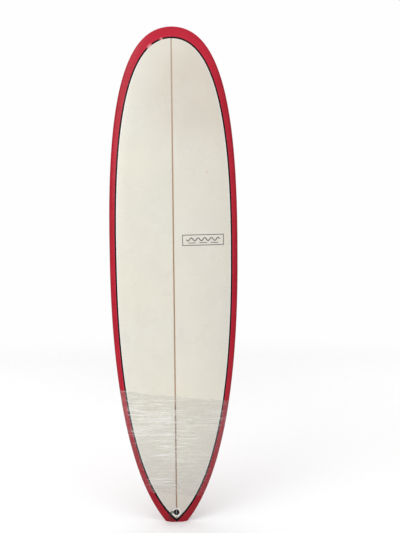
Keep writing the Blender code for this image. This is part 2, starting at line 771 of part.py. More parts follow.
def make_fin(name, frame, cant, material):
    blade = make_fin_blade(name, frame, cant, material)
    for place, centre in pod_centres():
        tab = block(f"cut_tab_{name}_{place}", centre, SLOT_LENGTH - 2 * GAP, SLOT_WIDTH - 2 * GAP,
                    -SLOT_DEPTH + GAP, 2.2 * MM, material, frame)
        add_boolean(blade, tab, "UNION")
    return blade


FINS = (("left", -SIDE_FIN_OFFSET, SIDE_FIN_HEIGHT, SIDE_FIN_TOE, -SIDE_FIN_CANT, LEFT),
        ("right", SIDE_FIN_OFFSET, SIDE_FIN_HEIGHT, -SIDE_FIN_TOE, SIDE_FIN_CANT, RIGHT),
        ("centre", 0.0, CENTRE_FIN_HEIGHT, 0.0, 0.0, RIGHT))


def make_fin_set(materials, hosts):
    """Boxes, fins and screws; each box's pocket is cut from the layers that it goes through."""
    for place, x, height, toe, cant, side in FINS:
        frame = fin_frame(x, height, toe)
        make_fin_box(f"fin_box_{place}", frame, side, materials["black_plastic"])
        make_fin(f"fin_{place}", frame, cant, materials["fin"])
        for end, centre in pod_centres():
            hex_socket_screw(f"fin_screw_{place}_{end}", screw_frame(frame, centre, side),
                             materials["steel"])
        cutter = make_box_cutter(f"fin_box_{place}", frame, materials["foam"])
        for host in hosts[place]:
            add_boolean(host, cutter)


# ---------------------------------------------------------------- the board

def make_board():
    clear_scene()
    materials = make_materials()
    blank_left = make_blank_half("blank_left", LEFT, materials["foam"])
    blank_right = make_blank_half("blank_right", RIGHT, materials["foam"])
    stringer = make_stringer(materials["wood"])
    deck = make_deck_laminate(materials["cream"])
    bottom = make_bottom_laminate(materials["red"])
    make_pinline(materials["black_line"])
    make_emblem(materials["print"])
    make_upper_wrap(materials["film"])
    make_lower_wrap(materials["film"])
    make_leash_cup(materials["black_plastic"])
    make_leash_pin(materials["steel"])
    make_leash_string(materials["string"])
    make_leash_knot(materials["string"])
    cup_cutter = make_cup_cutter(materials["foam"])
    for layer in (blank_left, blank_right, stringer, deck):
        add_boolean(layer, cup_cutter)
    make_fin_set(materials, {"left": (blank_left, bottom), "right": (blank_right, bottom),
                             "centre": (blank_left, blank_right, stringer, bottom)})


make_board()
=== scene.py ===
"""The looks of the surfboard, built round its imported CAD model.

The frame is the CAD's: the board stands upright on its tail, +Z runs from the tail to the nose
and the deck faces -Y, so the fins stand out towards +Y. Lengths are in metres. The hull is the
same set of curves as in the CAD, sampled finely.
"""
import math

import bmesh
import bpy
import numpy as np
from mathutils import Matrix, Vector


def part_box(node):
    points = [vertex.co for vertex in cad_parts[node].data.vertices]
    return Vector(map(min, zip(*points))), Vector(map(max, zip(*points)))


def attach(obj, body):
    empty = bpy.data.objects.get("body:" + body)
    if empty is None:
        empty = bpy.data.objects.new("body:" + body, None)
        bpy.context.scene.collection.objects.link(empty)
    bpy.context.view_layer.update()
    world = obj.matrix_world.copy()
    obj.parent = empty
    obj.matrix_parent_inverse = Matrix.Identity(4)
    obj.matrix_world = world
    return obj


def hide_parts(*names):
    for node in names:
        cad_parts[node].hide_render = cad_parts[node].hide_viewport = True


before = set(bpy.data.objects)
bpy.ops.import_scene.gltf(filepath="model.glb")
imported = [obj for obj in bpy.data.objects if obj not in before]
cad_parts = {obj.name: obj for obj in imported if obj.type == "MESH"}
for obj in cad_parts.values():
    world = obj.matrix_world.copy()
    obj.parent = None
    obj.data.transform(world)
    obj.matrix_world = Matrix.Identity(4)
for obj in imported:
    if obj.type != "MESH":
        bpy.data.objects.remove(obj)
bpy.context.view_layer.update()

MM = 0.001

# The hull's driving dimensions
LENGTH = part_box("bottom_laminate")[1].z
HALF_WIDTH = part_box("bottom_laminate")[1].x
WIDE_POINT = 1.245
THICKNESS = 0.070
THICK_POINT = 1.09
NOSE_TIP_THICKNESS = 0.015
TAIL_END_THICKNESS = 0.016
NOSE_ROCKER = 0.108
TAIL_ROCKER = 0.052
ROCKER_LOW_POINT = 1.0
APEX_SHARE = 0.42
DECK_CROWN_POWER = 2.6
DECK_CROWN_ROOT = 1.9
RAIL_TUCK_TAIL = 0.018
RAIL_TUCK_MIDDLE = 0.048
NOSE_ROCKER_POWER, TAIL_ROCKER_POWER = 2.4, 2.2
NOSE_THIN_POWER, TAIL_THIN_POWER = 2.3, 2.4

# Handles of the plan curves, right half, as (x, z)
NOSE_HANDLE = 0.207
SHOULDER_HANDLE = 0.629
HIP_HANDLE = 0.174
TAIL_CORNER = (0.058, 0.0126)
TAIL_HANDLE = (0.294, 0.319)
TAIL_FLAT_HALF = 0.038
CORNER_LEAD = 0.65
CORNER_HANDLE = 0.012

# The cut lap, under the pinline
LAP_NOSE = 0.046
LAP_SIDE = 0.0285
LAP_TAIL = 0.008
LAP_NOSE_HANDLE = 0.190
LAP_SHOULDER_HANDLE = 0.544
LAP_HIP_HANDLE = 0.225
LAP_TAIL_HANDLE = (0.262, 0.233)
PINLINE_HALF = 3.7 * MM
PINLINE_PROUD = 0.12 * MM
SKIN = 1.0 * MM

# Stretch wrap, heights from the tail; x of its slanting edges is measured at WRAP_HALF_SPAN
WRAP_HALF_SPAN = 0.23
WRAP_TOP = (0.605, 0.553)
WRAP_FOOT = (0.143, 0.115)
WRAP_SPLIT = 0.440
WRAP_WAIST = (0.212, 0.280)
WRAP_LIFT = 0.55 * MM

# Emblem
EMBLEM_SIZE = (0.184, 0.0485)
EMBLEM_CENTRE = (0.1305, 1.279)
EMBLEM_TILT = math.radians(0.9)

# Leash cup, pin and string
CUP_HEIGHT = 0.045
CUP_RADIUS = 12.5 * MM
CUP_RIM_RADIUS = 13.5 * MM
CUP_BORE = 10.0 * MM
CUP_DEPTH = 14.5 * MM
PIN_RADIUS = 1.5 * MM
PIN_DEPTH = 6.5 * MM
PIN_HALF_LENGTH = 11.0 * MM
STRING_RADIUS = 1.3 * MM
STRING_CLEARANCE = 1.6 * MM

# Fins
CENTRE_FIN_HEIGHT = 0.146
SIDE_FIN_HEIGHT = 0.349
SIDE_FIN_OFFSET = 0.156
SIDE_FIN_TOE = math.radians(3.2)
SIDE_FIN_CANT = math.radians(5.0)
BOX_LENGTH = 0.118
POD_RADIUS = 14.5 * MM
BOX_WAIST = 7.5 * MM
BOX_DEPTH = 17.0 * MM
POD_SPACING = BOX_LENGTH - 2 * POD_RADIUS
SLOT = (23.0 * MM, 6.0 * MM, 14.0 * MM)
FIN_BASE = 0.114
FIN_DEPTH = 0.117
FIN_THICKNESS = 6.4 * MM
FIN_TIP_SWEEP = 0.075
SCREW_RADIUS = 2.5 * MM
SCREW_LENGTH = 6.0 * MM
SCREW_TILT = math.radians(28)
SCREW_OFFSET = 8.6 * MM
GAP = 0.3 * MM

DECK, BOTTOM = "deck", "bottom"
RIGHT, LEFT = 1, -1
BOARD = "board"


# ---------------------------------------------------------------- camera

CAMERA_DISTANCE = 3.1
CAMERA_PITCH = math.radians(4.5)
CAMERA_ROLL = math.radians(-0.67)
CAMERA_REACH = 60
SENSOR = 36.0
LENS = 47.2
CAMERA_SHIFT = (0.0489, 0.0298)


def make_camera():
    """In front of the deck and a little above its middle, with a slight roll and shift."""
    data = bpy.data.cameras.new("camera")
    data.sensor_width = SENSOR
    data.lens = LENS
    data.shift_x, data.shift_y = CAMERA_SHIFT
    data.clip_end = CAMERA_REACH
    camera = link(bpy.data.objects.new("camera", data))
    aim = Vector((0, math.cos(CAMERA_PITCH), -math.sin(CAMERA_PITCH)))
    target = Vector((0, 0, LENGTH / 2))
    turn = aim.to_track_quat("-Z", "Y").to_matrix().to_4x4() @ Matrix.Rotation(CAMERA_ROLL, 4, "Z")
    camera.matrix_world = Matrix.Translation(target - CAMERA_DISTANCE * aim) @ turn
    bpy.context.scene.camera = camera


# ---------------------------------------------------------------- plan curves

def bezier(start, handle_a, handle_b, end, t):
    """Points of a cubic Bezier curve at the steps t."""
    t = np.asarray(t, float)[:, None]
    start, handle_a, handle_b, end = (np.array(p, float) for p in (start, handle_a, handle_b, end))
    return ((1 - t) ** 3 * start + 3 * (1 - t) ** 2 * t * handle_a
            + 3 * (1 - t) * t ** 2 * handle_b + t ** 3 * end)


def outline_curve(t_nose, t_tail, t_corner):
    """Right half of the plan shape, from the nose to the flat end of the tail."""
    wide = (HALF_WIDTH, WIDE_POINT)
    nose = bezier((0, LENGTH), (NOSE_HANDLE, LENGTH),
                  (HALF_WIDTH, WIDE_POINT + SHOULDER_HANDLE), wide, t_nose)
    tail = bezier(wide, (HALF_WIDTH, WIDE_POINT - HIP_HANDLE), TAIL_HANDLE, TAIL_CORNER, t_tail)
    corner_x, corner_z = TAIL_CORNER
    lead = CORNER_LEAD * corner_z
    slope = (TAIL_HANDLE[0] - corner_x) / (TAIL_HANDLE[1] - corner_z)
    corner = bezier(TAIL_CORNER, (corner_x - lead * slope, corner_z - lead),
                    (TAIL_FLAT_HALF + CORNER_HANDLE, 0), (TAIL_FLAT_HALF, 0), t_corner)
    return np.vstack([nose, tail[1:], corner[1:]])


def lap_curve(t_nose, t_tail):
    """Right half of the cut lap's line, from the nose to its point at the tail."""
    side = HALF_WIDTH - LAP_SIDE
    top = LENGTH - LAP_NOSE
    nose = bezier((0, top), (LAP_NOSE_HANDLE, top),
                  (side, WIDE_POINT + LAP_SHOULDER_HANDLE), (side, WIDE_POINT), t_nose)
    tail = bezier((side, WIDE_POINT), (side, WIDE_POINT - LAP_HIP_HANDLE), LAP_TAIL_HANDLE,
                  (0, LAP_TAIL), t_tail)
    return np.vstack([nose, tail[1:]])


def inset(curve, distance):
    """Move an open curve inwards, towards the centre line, by a distance."""
    along = np.gradient(curve, axis=0)
    along[0] = (1, 0)
    along[-1] = (-1, 0)
    along /= np.linalg.norm(along, axis=1)[:, None]
    inward = np.column_stack([along[:, 1], -along[:, 0]])
    moved = curve + np.asarray(distance).reshape(-1, 1) * inward
    moved[0, 0] = 0.0
    return moved


FINE_STEPS = np.linspace(0, 1, 161)
FINE_OUTLINE = outline_curve(FINE_STEPS, FINE_STEPS, np.linspace(0, 1, 17))
POINTS_AT_ONCE = 4000


def half_width_at(z):
    """Half the board's width at a height."""
    return np.interp(z, FINE_OUTLINE[::-1, 1], FINE_OUTLINE[::-1, 0])


def distance_to_outline(x, z):
    """Plan distance from the rail in to each point, less than 0 outside it.

    The flat end of the tail isn't counted.
    """
    a, b = FINE_OUTLINE[:-1], FINE_OUTLINE[1:]
    edge = b - a
    size = (edge ** 2).sum(1)
    points = np.column_stack([np.abs(x), z])
    found = np.empty(len(points))
    for start in range(0, len(points), POINTS_AT_ONCE):
        some = slice(start, start + POINTS_AT_ONCE)
        block = points[some, None, :]
        share = np.clip(((block - a) * edge).sum(2) / size, 0, 1)
        away = block - a - share[..., None] * edge
        found[some] = np.sqrt((away ** 2).sum(2).min(1))
    return np.where(np.abs(x) >= half_width_at(z), -found, found)


# ---------------------------------------------------------------- surfaces of the hull

def rocker(z):
    """How far the bottom has curved away from its lowest point."""
    nose = np.maximum(0.0, (z - ROCKER_LOW_POINT) / (LENGTH - ROCKER_LOW_POINT))
    tail = np.maximum(0.0, (ROCKER_LOW_POINT - z) / ROCKER_LOW_POINT)
    return NOSE_ROCKER * nose ** NOSE_ROCKER_POWER + TAIL_ROCKER * tail ** TAIL_ROCKER_POWER


def thickness(z):
    nose = np.maximum(0.0, (z - THICK_POINT) / (LENGTH - THICK_POINT))
    tail = np.maximum(0.0, (THICK_POINT - z) / THICK_POINT)
    return (THICKNESS - (THICKNESS - NOSE_TIP_THICKNESS) * nose ** NOSE_THIN_POWER
            - (THICKNESS - TAIL_END_THICKNESS) * tail ** TAIL_THIN_POWER)


def bottom_line(z):
    return TAIL_END_THICKNESS / 2 + TAIL_ROCKER - rocker(z)


def quarter(share, power, root):
    """Rise from 0 to 1 of a superellipse's quarter, as share goes from 0 to 1."""
    return (1 - (1 - np.clip(share, 0.0, 1.0)) ** power) ** (1 / root)


def surface(x, z, side, depth=0.0):
    """Points of the hull's surface, or of the surface a depth under it, at places in plan."""
    x, z = np.broadcast_arrays(np.asarray(x, float), np.asarray(z, float))
    shape = x.shape
    x, z = x.ravel(), z.ravel()
    full = thickness(z)
    apex = APEX_SHARE * full
    rail_distance = np.maximum(0.0, distance_to_outline(x, z) - depth)
    if side == DECK:
        reach = np.maximum(half_width_at(z) - depth, 1e-4)
        height = apex + (full - depth - apex) * quarter(rail_distance / reach, DECK_CROWN_POWER,
                                                        DECK_CROWN_ROOT)
    else:
        middle = np.clip(z / ROCKER_LOW_POINT, 0, 1) ** 2
        reach = RAIL_TUCK_TAIL + (RAIL_TUCK_MIDDLE - RAIL_TUCK_TAIL) * middle
        height = apex - (apex - depth) * quarter(rail_distance / reach, 2.0, 2.0)
    return np.column_stack([x, bottom_line(z) - height, z]).reshape(*shape, 3)


def deck_point(x, z, depth=0.0):
    return Vector(surface(x, z, DECK, depth))


# ---------------------------------------------------------------- mesh helpers

SHARP = 35
ROD_SIDES = 32


def link(obj):
    bpy.context.scene.collection.objects.link(obj)
    return obj


def smooth(mesh, sharp):
    """Shade smoothly, but for edges sharper than an angle in degrees."""
    mesh.shade_smooth()
    mesh.set_sharp_from_angle(angle=math.radians(sharp))


def finish_mesh(name, bm, material, matrix=None, sharp=SHARP, weld=0.002 * MM):
    """Turn a bmesh into an object whose faces point out."""
    bmesh.ops.remove_doubles(bm, verts=bm.verts, dist=weld)
    bmesh.ops.dissolve_degenerate(bm, dist=weld, edges=bm.edges)
    bmesh.ops.recalc_face_normals(bm, faces=bm.faces)
    mesh = bpy.data.meshes.new(name)
    bm.to_mesh(mesh)
    bm.free()
    if matrix is not None:
        mesh.transform(matrix)
    mesh.materials.append(material)
    smooth(mesh, sharp)
    return link(bpy.data.objects.new(name, mesh))


def add_piece(obj, body, slot, *nodes):
    """The object rides on a body and stands for CAD nodes, which it hides; the slot argument is
    not used.
    """
    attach(obj, body)
    if nodes:
        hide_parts(*nodes)
    return obj


def bridge_grid(bm, points, flip=False, marks=None, layer=None):
    """Faces over a grid of points; marks are values that its vertices keep in a layer."""
    rows, columns = points.shape[:2]
    verts = [[bm.verts.new(points[i, j]) for j in range(columns)] for i in range(rows)]
    if marks is not None:
        for i in range(rows):
            for j in range(columns):
                verts[i][j][layer] = marks[i, j]
    for upper, lower in zip(verts, verts[1:]):
        for k in range(columns - 1):
            corners = [upper[k], upper[k + 1], lower[k + 1], lower[k]]
            bm.faces.new(corners[::-1] if flip else corners)
    return verts


def join_edges(bm, edge_a, edge_b):
    """A strip of faces between two rows of vertices."""
    for k in range(len(edge_a) - 1):
        bm.faces.new([edge_a[k], edge_a[k + 1], edge_b[k + 1], edge_b[k]])


def mirrored(points):
    return points * np.array([-1.0, 1.0, 1.0])


def bridge_halves(bm, points, flip=False, marks=None, layer=None):
    """A grid over the right half and its mirror image over the left."""
    return [bridge_grid(bm, points, flip, marks, layer),
            bridge_grid(bm, mirrored(points), not flip, marks, layer)]


def cut(target, cutter, operation="DIFFERENCE"):
    """Apply a Boolean and throw the cutter away."""
    modifier = target.modifiers.new("cut", "BOOLEAN")
    modifier.operation = operation
    modifier.object = cutter
    modifier.solver = "EXACT"
    evaluated = target.evaluated_get(bpy.context.evaluated_depsgraph_get())
    mesh = bpy.data.meshes.new_from_object(evaluated)
    target.modifiers.clear()
    target.data = mesh
    bpy.data.objects.remove(cutter)


def turned(name, profile, steps, material, matrix, sharp=SHARP):
    """A solid of revolution about Z; its (radius, height) points start and end on the axis."""
    bm = bmesh.new()
    points = [bm.verts.new((r, 0, h)) for r, h in profile]
    edges = [bm.edges.new(pair) for pair in zip(points, points[1:])]
    bmesh.ops.spin(bm, geom=points + edges, cent=(0, 0, 0), axis=(0, 0, 1), angle=math.tau,
                   steps=steps, use_duplicate=False)
    return finish_mesh(name, bm, material, matrix, sharp)


def chamfered_rod(name, radius, low, high, ease, material, matrix):
    """A cylinder with small chamfers."""
    profile = [(0, high), (radius - ease, high), (radius, high - ease), (radius, low + ease),
               (radius - ease, low), (0, low)]
    return turned(name, profile, ROD_SIDES, material, matrix)


def layered(name, rings, material, matrix=None, sharp=SHARP):
    """A closed solid over rings of equal point counts, its first and last rings capped."""
    bm = bmesh.new()
    loops = np.array([[*ring, ring[0]] for ring in rings], float)
    bridge_grid(bm, loops)
    for ring in (rings[0], rings[-1]):
        bm.faces.new([bm.verts.new(p) for p in ring])
    return finish_mesh(name, bm, material, matrix, sharp)


# ---------------------------------------------------------------- node materials

class Nodes:
    """A node tree in the making."""

    def __init__(self, tree):
        self.tree = tree

    def node(self, kind, inputs=None, **settings):
        made = self.tree.nodes.new(kind)
        for key, value in settings.items():
            setattr(made, key, value)
        for key, value in (inputs or {}).items():
            self.feed(made.inputs[key], value)
        return made

    def feed(self, socket, value):
        if isinstance(value, bpy.types.NodeSocket):
            self.tree.links.new(value, socket)
        elif isinstance(value, tuple) and len(value) == 3 and socket.type == "RGBA":
            socket.default_value = (*value, 1.0)
        else:
            socket.default_value = value


class Look(Nodes):
    """A material in the making. Numbers go straight onto the shader's sockets."""

    def __init__(self, name):
        self.material = bpy.data.materials.new(name)
        self.material.use_nodes = True
        super().__init__(self.material.node_tree)
        self.shader = self.tree.nodes["Principled BSDF"]
        self.output = self.tree.nodes["Material Output"]
        self.place = self.node("ShaderNodeTexCoord").outputs["Object"]

    def set(self, **values):
        for key, value in values.items():
            self.feed(self.shader.inputs[key.replace("_", " ")], value)

    def math(self, operation, a, b=0.0, c=0.0):
        return self.node("ShaderNodeMath", {0: a, 1: b, 2: c}, operation=operation).outputs[0]

    def times(self, a, b):
        return self.math("MULTIPLY", a, b)

    def plus(self, a, b):
        return self.math("ADD", a, b)

    def wave(self, value, rate):
        return self.math("SINE", self.times(value, rate))

    def part(self, axis):
        """One coordinate of a point on the object, in metres."""
        return self.node("ShaderNodeSeparateXYZ", {0: self.place}).outputs[axis]

    def stretched(self, x, y, z):
        """Object coordinates, scaled apart along the three axes."""
        return self.node("ShaderNodeVectorMath", {0: self.place, 1: (x, y, z)},
                         operation="MULTIPLY").outputs[0]

    def noise(self, scale, detail=2.0, roughness=0.5, vector=None):
        return self.node("ShaderNodeTexNoise", {
            "Vector": self.place if vector is None else vector, "Scale": scale,
            "Detail": detail, "Roughness": roughness}).outputs["Fac"]

    def cells(self, scale):
        """Distance to the middle of the nearest of many scattered cells."""
        made = self.node("ShaderNodeTexVoronoi", {"Vector": self.place, "Scale": scale})
        return made.outputs["Distance"]

    def ramp(self, value, low, high, out_low=0.0, out_high=1.0):
        """A smooth step from out_low to out_high as value goes from low to high."""
        return self.node("ShaderNodeMapRange", {
            "Value": value, "From Min": low, "From Max": high, "To Min": out_low,
            "To Max": out_high}, interpolation_type="SMOOTHSTEP").outputs["Result"]

    def mix(self, share, a, b):
        made = self.node("ShaderNodeMix", {0: share, 6: a, 7: b}, data_type="RGBA")
        return made.outputs[2]

    def tinted(self, colour, *coats):
        """The colour with a row of (share, tint) laid over it in turn."""
        for share, tint in coats:
            colour = self.mix(share, colour, tint)
        return colour

    def rough(self, value, low, high):
        """Roughness from low to high over a noise's usual range."""
        self.set(Roughness=self.ramp(value, 0.3, 0.7, low, high))

    def mark(self, name):
        """A value that the mesh's vertices carry."""
        return self.node("ShaderNodeAttribute", attribute_name=name).outputs["Fac"]

    def away_from(self, x, z):
        """Distance in plan from a place on the board."""
        across = self.math("SUBTRACT", self.part("X"), x)
        along = self.math("SUBTRACT", self.part("Z"), z)
        return self.math("SQRT", self.plus(self.times(across, across), self.times(along, along)))

    def bump(self, height, distance, strength=1.0):
        made = self.node("ShaderNodeBump", {"Height": height, "Distance": distance,
                                            "Strength": strength}).outputs[0]
        self.feed(self.shader.inputs["Normal"], made)
        return made


# Middle of a painted shadow on the deck near the nose
SHADED_PLACE = (0.11, 1.92)
SPECK = (0.150, 1.576)
WORN_PLACES = ((-0.092, 2.104, 0.015), (-0.0435, 2.132, 0.008))
WEAVE_PITCH = 1.6 * MM
TWILL_RATE = 1900.0


def cream_look():
    """Clear resin over glass cloth on pale foam, with the stringer showing through, and painted
    shade: a soft shadow near the nose and a darkening towards the right.
    """
    look = Look("cream_resin")
    broad = look.ramp(look.noise(2.6, 2.0, 0.5), 0.25, 0.75)
    mottle = look.ramp(look.noise(17.0, 2.0, 0.45, look.stretched(1.0, 1.0, 0.6)), 0.25, 0.75)
    # Painted shadow: a soft pinkish-grey patch on the deck near the nose, right of the stringer
    painted_shadow = look.ramp(look.away_from(*SHADED_PLACE), 0.31, 0.06, 0.0, 0.55)
    cloudy = look.ramp(look.noise(6.0, 2.0), 0.2, 0.75, 0.6, 1.0)
    plug_ring = look.ramp(look.away_from(0.0, CUP_HEIGHT), 0.0205, 0.0175, 0.0, 0.8)
    edge_strip = look.ramp(look.mark("lap_distance"), 0.0065, 0.0030, 0.0, 0.8)
    colour = look.tinted(
        look.mix(broad, (0.785, 0.755, 0.640), (0.760, 0.738, 0.668)),
        (look.times(mottle, 0.36), (0.70, 0.675, 0.585)),
        # Painted shade: the right half of the deck darker towards its rail
        (look.ramp(look.part("X"), 0.0, 0.26, 0.0, 0.4), (0.70, 0.655, 0.580)),
        (look.ramp(look.part("Z"), 0.43, 0.06, 0.0, 0.9), (0.575, 0.535, 0.485)),
        (look.times(painted_shadow, cloudy), (0.62, 0.535, 0.455)),
        (look.ramp(look.noise(520.0, 2.0), 0.60, 0.74, 0.0, 0.16), (0.62, 0.58, 0.47)),
        (look.ramp(look.cells(34.0), 0.035, 0.02, 0.0, 0.22), (0.42, 0.35, 0.25)),
        (look.ramp(look.away_from(*SPECK), 0.0075, 0.0020, 0.0, 0.5), (0.66, 0.40, 0.38)),
        (stringer_share(look), stringer_colour(look)),
        (look.math("MAXIMUM", plug_ring, edge_strip), (0.89, 0.88, 0.84)))
    look.set(Base_Color=colour, Coat_Weight=0.20, Coat_Roughness=0.24, IOR=1.45)
    look.rough(look.noise(9.0, 3.0), 0.25, 0.36)
    look.bump(look.noise(13.0, 2.0, 0.45, look.stretched(1.0, 1.0, 0.6)), 0.0016, 0.55)
    return look.material


def stringer_share(look):
    """1 on the stringer and 0 off it; it ends in the resin round the leash cup."""
    drift = look.times(look.math("SUBTRACT", look.noise(3.0, 1.0), 0.5), 0.8 * MM)
    across = look.math("ABSOLUTE", look.plus(look.part("X"), drift))
    band = look.ramp(across, 3.5 * MM, 2.7 * MM)
    plugged = look.ramp(look.away_from(0.0, CUP_HEIGHT), 0.0195, 0.0225, 0.14, 1.0)
    nose = look.ramp(look.part("Z"), 1.35, 2.10, 1.0, 0.72)
    return look.times(look.times(band, plugged), nose)


def stringer_colour(look):
    """Wood through resin, with darker glue lines, and deeper in colour under the film."""
    grain = look.noise(60.0, 4.0, 0.6, look.stretched(14.0, 1.0, 1.0))
    edge = look.ramp(look.math("ABSOLUTE", look.part("X")), 2.0 * MM, 3.0 * MM, 0.0, 0.4)
    return look.tinted(
        look.mix(look.ramp(grain, 0.3, 0.7), (0.44, 0.275, 0.165), (0.335, 0.195, 0.105)),
        (edge, (0.29, 0.165, 0.09)),
        (look.ramp(look.part("Z"), 0.60, 0.52, 0.0, 0.45), (0.17, 0.090, 0.055)))


def red_look():
    """Pigmented resin over glass cloth, with a painted highlight beside the pinline and painted
    shade round the rail.
    """
    look = Look("red_resin")
    across = look.mark("across")
    broad = look.ramp(look.noise(5.0, 4.0, 0.6), 0.3, 0.7)
    cloudy = look.ramp(look.noise(70.0, 5.0, 0.65, look.stretched(1.0, 1.0, 0.7)), 0.35, 0.75)
    off_middle = look.math("ABSOLUTE", look.part("X"))
    stringer = look.times(look.ramp(across, 1.2, 1.6),
                          look.ramp(off_middle, 3.2 * MM, 2.2 * MM, 0.0, 0.5))
    weave = look.times(look.wave(look.part("X"), math.tau / WEAVE_PITCH),
                       look.wave(look.part("Z"), math.tau / WEAVE_PITCH))
    worn = look.times(worn_share(look), look.ramp(across, 0.22, 0.05, 0.0, 0.45))
    colour = look.tinted(
        look.mix(broad, (0.475, 0.0060, 0.0240), (0.395, 0.0035, 0.0170)),
        (look.times(cloudy, 0.30), (0.54, 0.028, 0.055)),
        # Painted highlight: lighter beside the pinline
        (look.ramp(across, 0.0, 0.35, 0.55, 0.0), (0.58, 0.028, 0.060)),
        # Painted shade: darker where the rail turns away, which also leaves the whole bottom
        # darker
        (look.ramp(across, 0.55, 1.0, 0.0, 0.60), (0.23, 0.002, 0.010)),
        (look.ramp(look.part("Z"), 0.75, 0.10, 0.0, 0.75), (0.25, 0.002, 0.010)),
        (stringer, (0.16, 0.002, 0.006)),
        (look.ramp(weave, 0.2, 0.9, 0.0, 0.14), (0.60, 0.07, 0.10)),
        (look.ramp(look.part("Z"), 1.95, 2.12, 0.0, 0.45), (0.58, 0.030, 0.058)),
        (worn, (0.68, 0.24, 0.25)))
    look.set(Base_Color=colour, Coat_Weight=0.06, Coat_Roughness=0.05, IOR=1.45,
             Specular_IOR_Level=0.19)
    look.rough(look.noise(12.0, 3.0), 0.20, 0.34)
    look.bump(look.noise(16.0, 3.0, 0.5), 0.0014, 0.5)
    return look.material


def worn_share(look):
    """1 where the paint is rubbed away beside the pinline at the nose."""
    total = 0.0
    ragged = look.times(look.math("SUBTRACT", look.noise(160.0, 4.0, 0.7), 0.5), 0.016)
    for x, z, radius in WORN_PLACES:
        away = look.plus(look.away_from(x, z), ragged)
        total = look.math("MAXIMUM", total, look.ramp(away, radius, 0.7 * radius))
    return total


def pinline_look():
    """Black paint under gloss, rubbed thin at the nose."""
    look = Look("pinline_paint")
    tone = look.mix(look.ramp(look.noise(90.0, 3.0), 0.35, 0.7),
                    (0.0018, 0.0018, 0.002), (0.008, 0.0075, 0.008))
    bare = look.mix(look.ramp(look.noise(210.0, 3.0), 0.42, 0.58),
                    (0.52, 0.06, 0.09), (0.70, 0.52, 0.47))
    look.set(Base_Color=look.mix(worn_share(look), tone, bare), Specular_IOR_Level=0.14)
    look.rough(look.noise(40.0, 3.0), 0.25, 0.42)
    look.bump(look.noise(300.0, 3.0), 0.00004, 0.5)
    return look.material


def print_look():
    """Screen-printed ink, thin in places."""
    look = Look("emblem_ink")
    thin = look.ramp(look.noise(240.0, 4.0, 0.7), 0.35, 0.75)
    look.set(Base_Color=look.mix(thin, (0.070, 0.055, 0.072), (0.17, 0.145, 0.16)),
             Coat_Weight=0.4, Coat_Roughness=0.08)
    look.rough(look.noise(500.0, 2.0), 0.28, 0.45)
    look.bump(look.noise(900.0, 2.0), 0.00003, 0.5)
    return look.material


def plastic_look():
    """Moulded plastic with a fine texture and rubbed, lighter patches."""
    look = Look("moulded_plastic")
    rubbed = look.ramp(look.noise(140.0, 5.0, 0.7), 0.45, 0.75)
    look.set(Base_Color=look.mix(rubbed, (0.016, 0.016, 0.018), (0.05, 0.05, 0.053)))
    look.rough(look.noise(320.0, 3.0), 0.3, 0.48)
    look.bump(look.cells(1500.0), 0.00006, 0.5)
    return look.material


def steel_look():
    """Turned stainless steel."""
    look = Look("steel")
    lines = look.noise(2200.0, 2.0, 0.5)
    look.set(Base_Color=look.mix(lines, (0.50, 0.50, 0.51), (0.72, 0.72, 0.73)), Metallic=1.0)
    look.rough(look.noise(900.0, 3.0), 0.18, 0.38)
    look.bump(lines, 0.00002, 0.4)
    return look.material


def string_look():
    """Black polyester braid; the plaits themselves are in the mesh."""
    look = Look("braided_string")
    fibre = look.noise(2600.0, 3.0, 0.6)
    look.set(Base_Color=look.mix(fibre, (0.008, 0.008, 0.009), (0.050, 0.049, 0.051)),
             Sheen_Weight=0.08)
    look.rough(fibre, 0.50, 0.80)
    look.bump(fibre, 0.00008, 0.6)
    return look.material


def fin_look():
    """Black glass-cloth composite: a twill under gloss, greyer where the edges are sanded."""
    look = Look("fin_composite")
    diagonal = look.plus(look.part("X"), look.part("Z"))
    other = look.math("SUBTRACT", look.part("Y"), look.part("Z"))
    twill = look.times(look.wave(diagonal, TWILL_RATE), look.wave(other, TWILL_RATE))
    colour = look.tinted(
        look.mix(look.ramp(twill, -0.4, 0.6), (0.013, 0.013, 0.015), (0.048, 0.048, 0.053)),
        (look.ramp(look.noise(24.0, 4.0), 0.4, 0.7, 0.0, 0.35), (0.05, 0.05, 0.054)),
        (look.ramp(look.mark("edge"), 0.55, 1.0, 0.0, 0.6), (0.12, 0.12, 0.125)))
    look.set(Base_Color=colour, Coat_Weight=0.6, Coat_Roughness=0.06)
    look.rough(look.noise(60.0, 3.0), 0.22, 0.36)
    look.bump(twill, 0.00002, 0.5)
    return look.material


def foam_look():
    """Closed-cell polyurethane foam."""
    look = Look("blank_foam")
    cell = look.cells(1400.0)
    look.set(Base_Color=look.mix(look.ramp(cell, 0.1, 0.6),
                                 (0.80, 0.76, 0.64), (0.87, 0.84, 0.75)))
    look.rough(look.noise(300.0), 0.80, 0.95)
    look.bump(cell, 0.0002, 0.6)
    return look.material


def wood_look():
    """Long-grained stringer wood."""
    look = Look("stringer_wood")
    rings = look.noise(40.0, 5.0, 0.6, look.stretched(12.0, 12.0, 0.5))
    look.set(Base_Color=look.mix(look.ramp(rings, 0.35, 0.65),
                                 (0.52, 0.36, 0.20), (0.38, 0.23, 0.11)))
    look.rough(rings, 0.5, 0.7)
    look.bump(rings, 0.0002, 0.5)
    return look.material


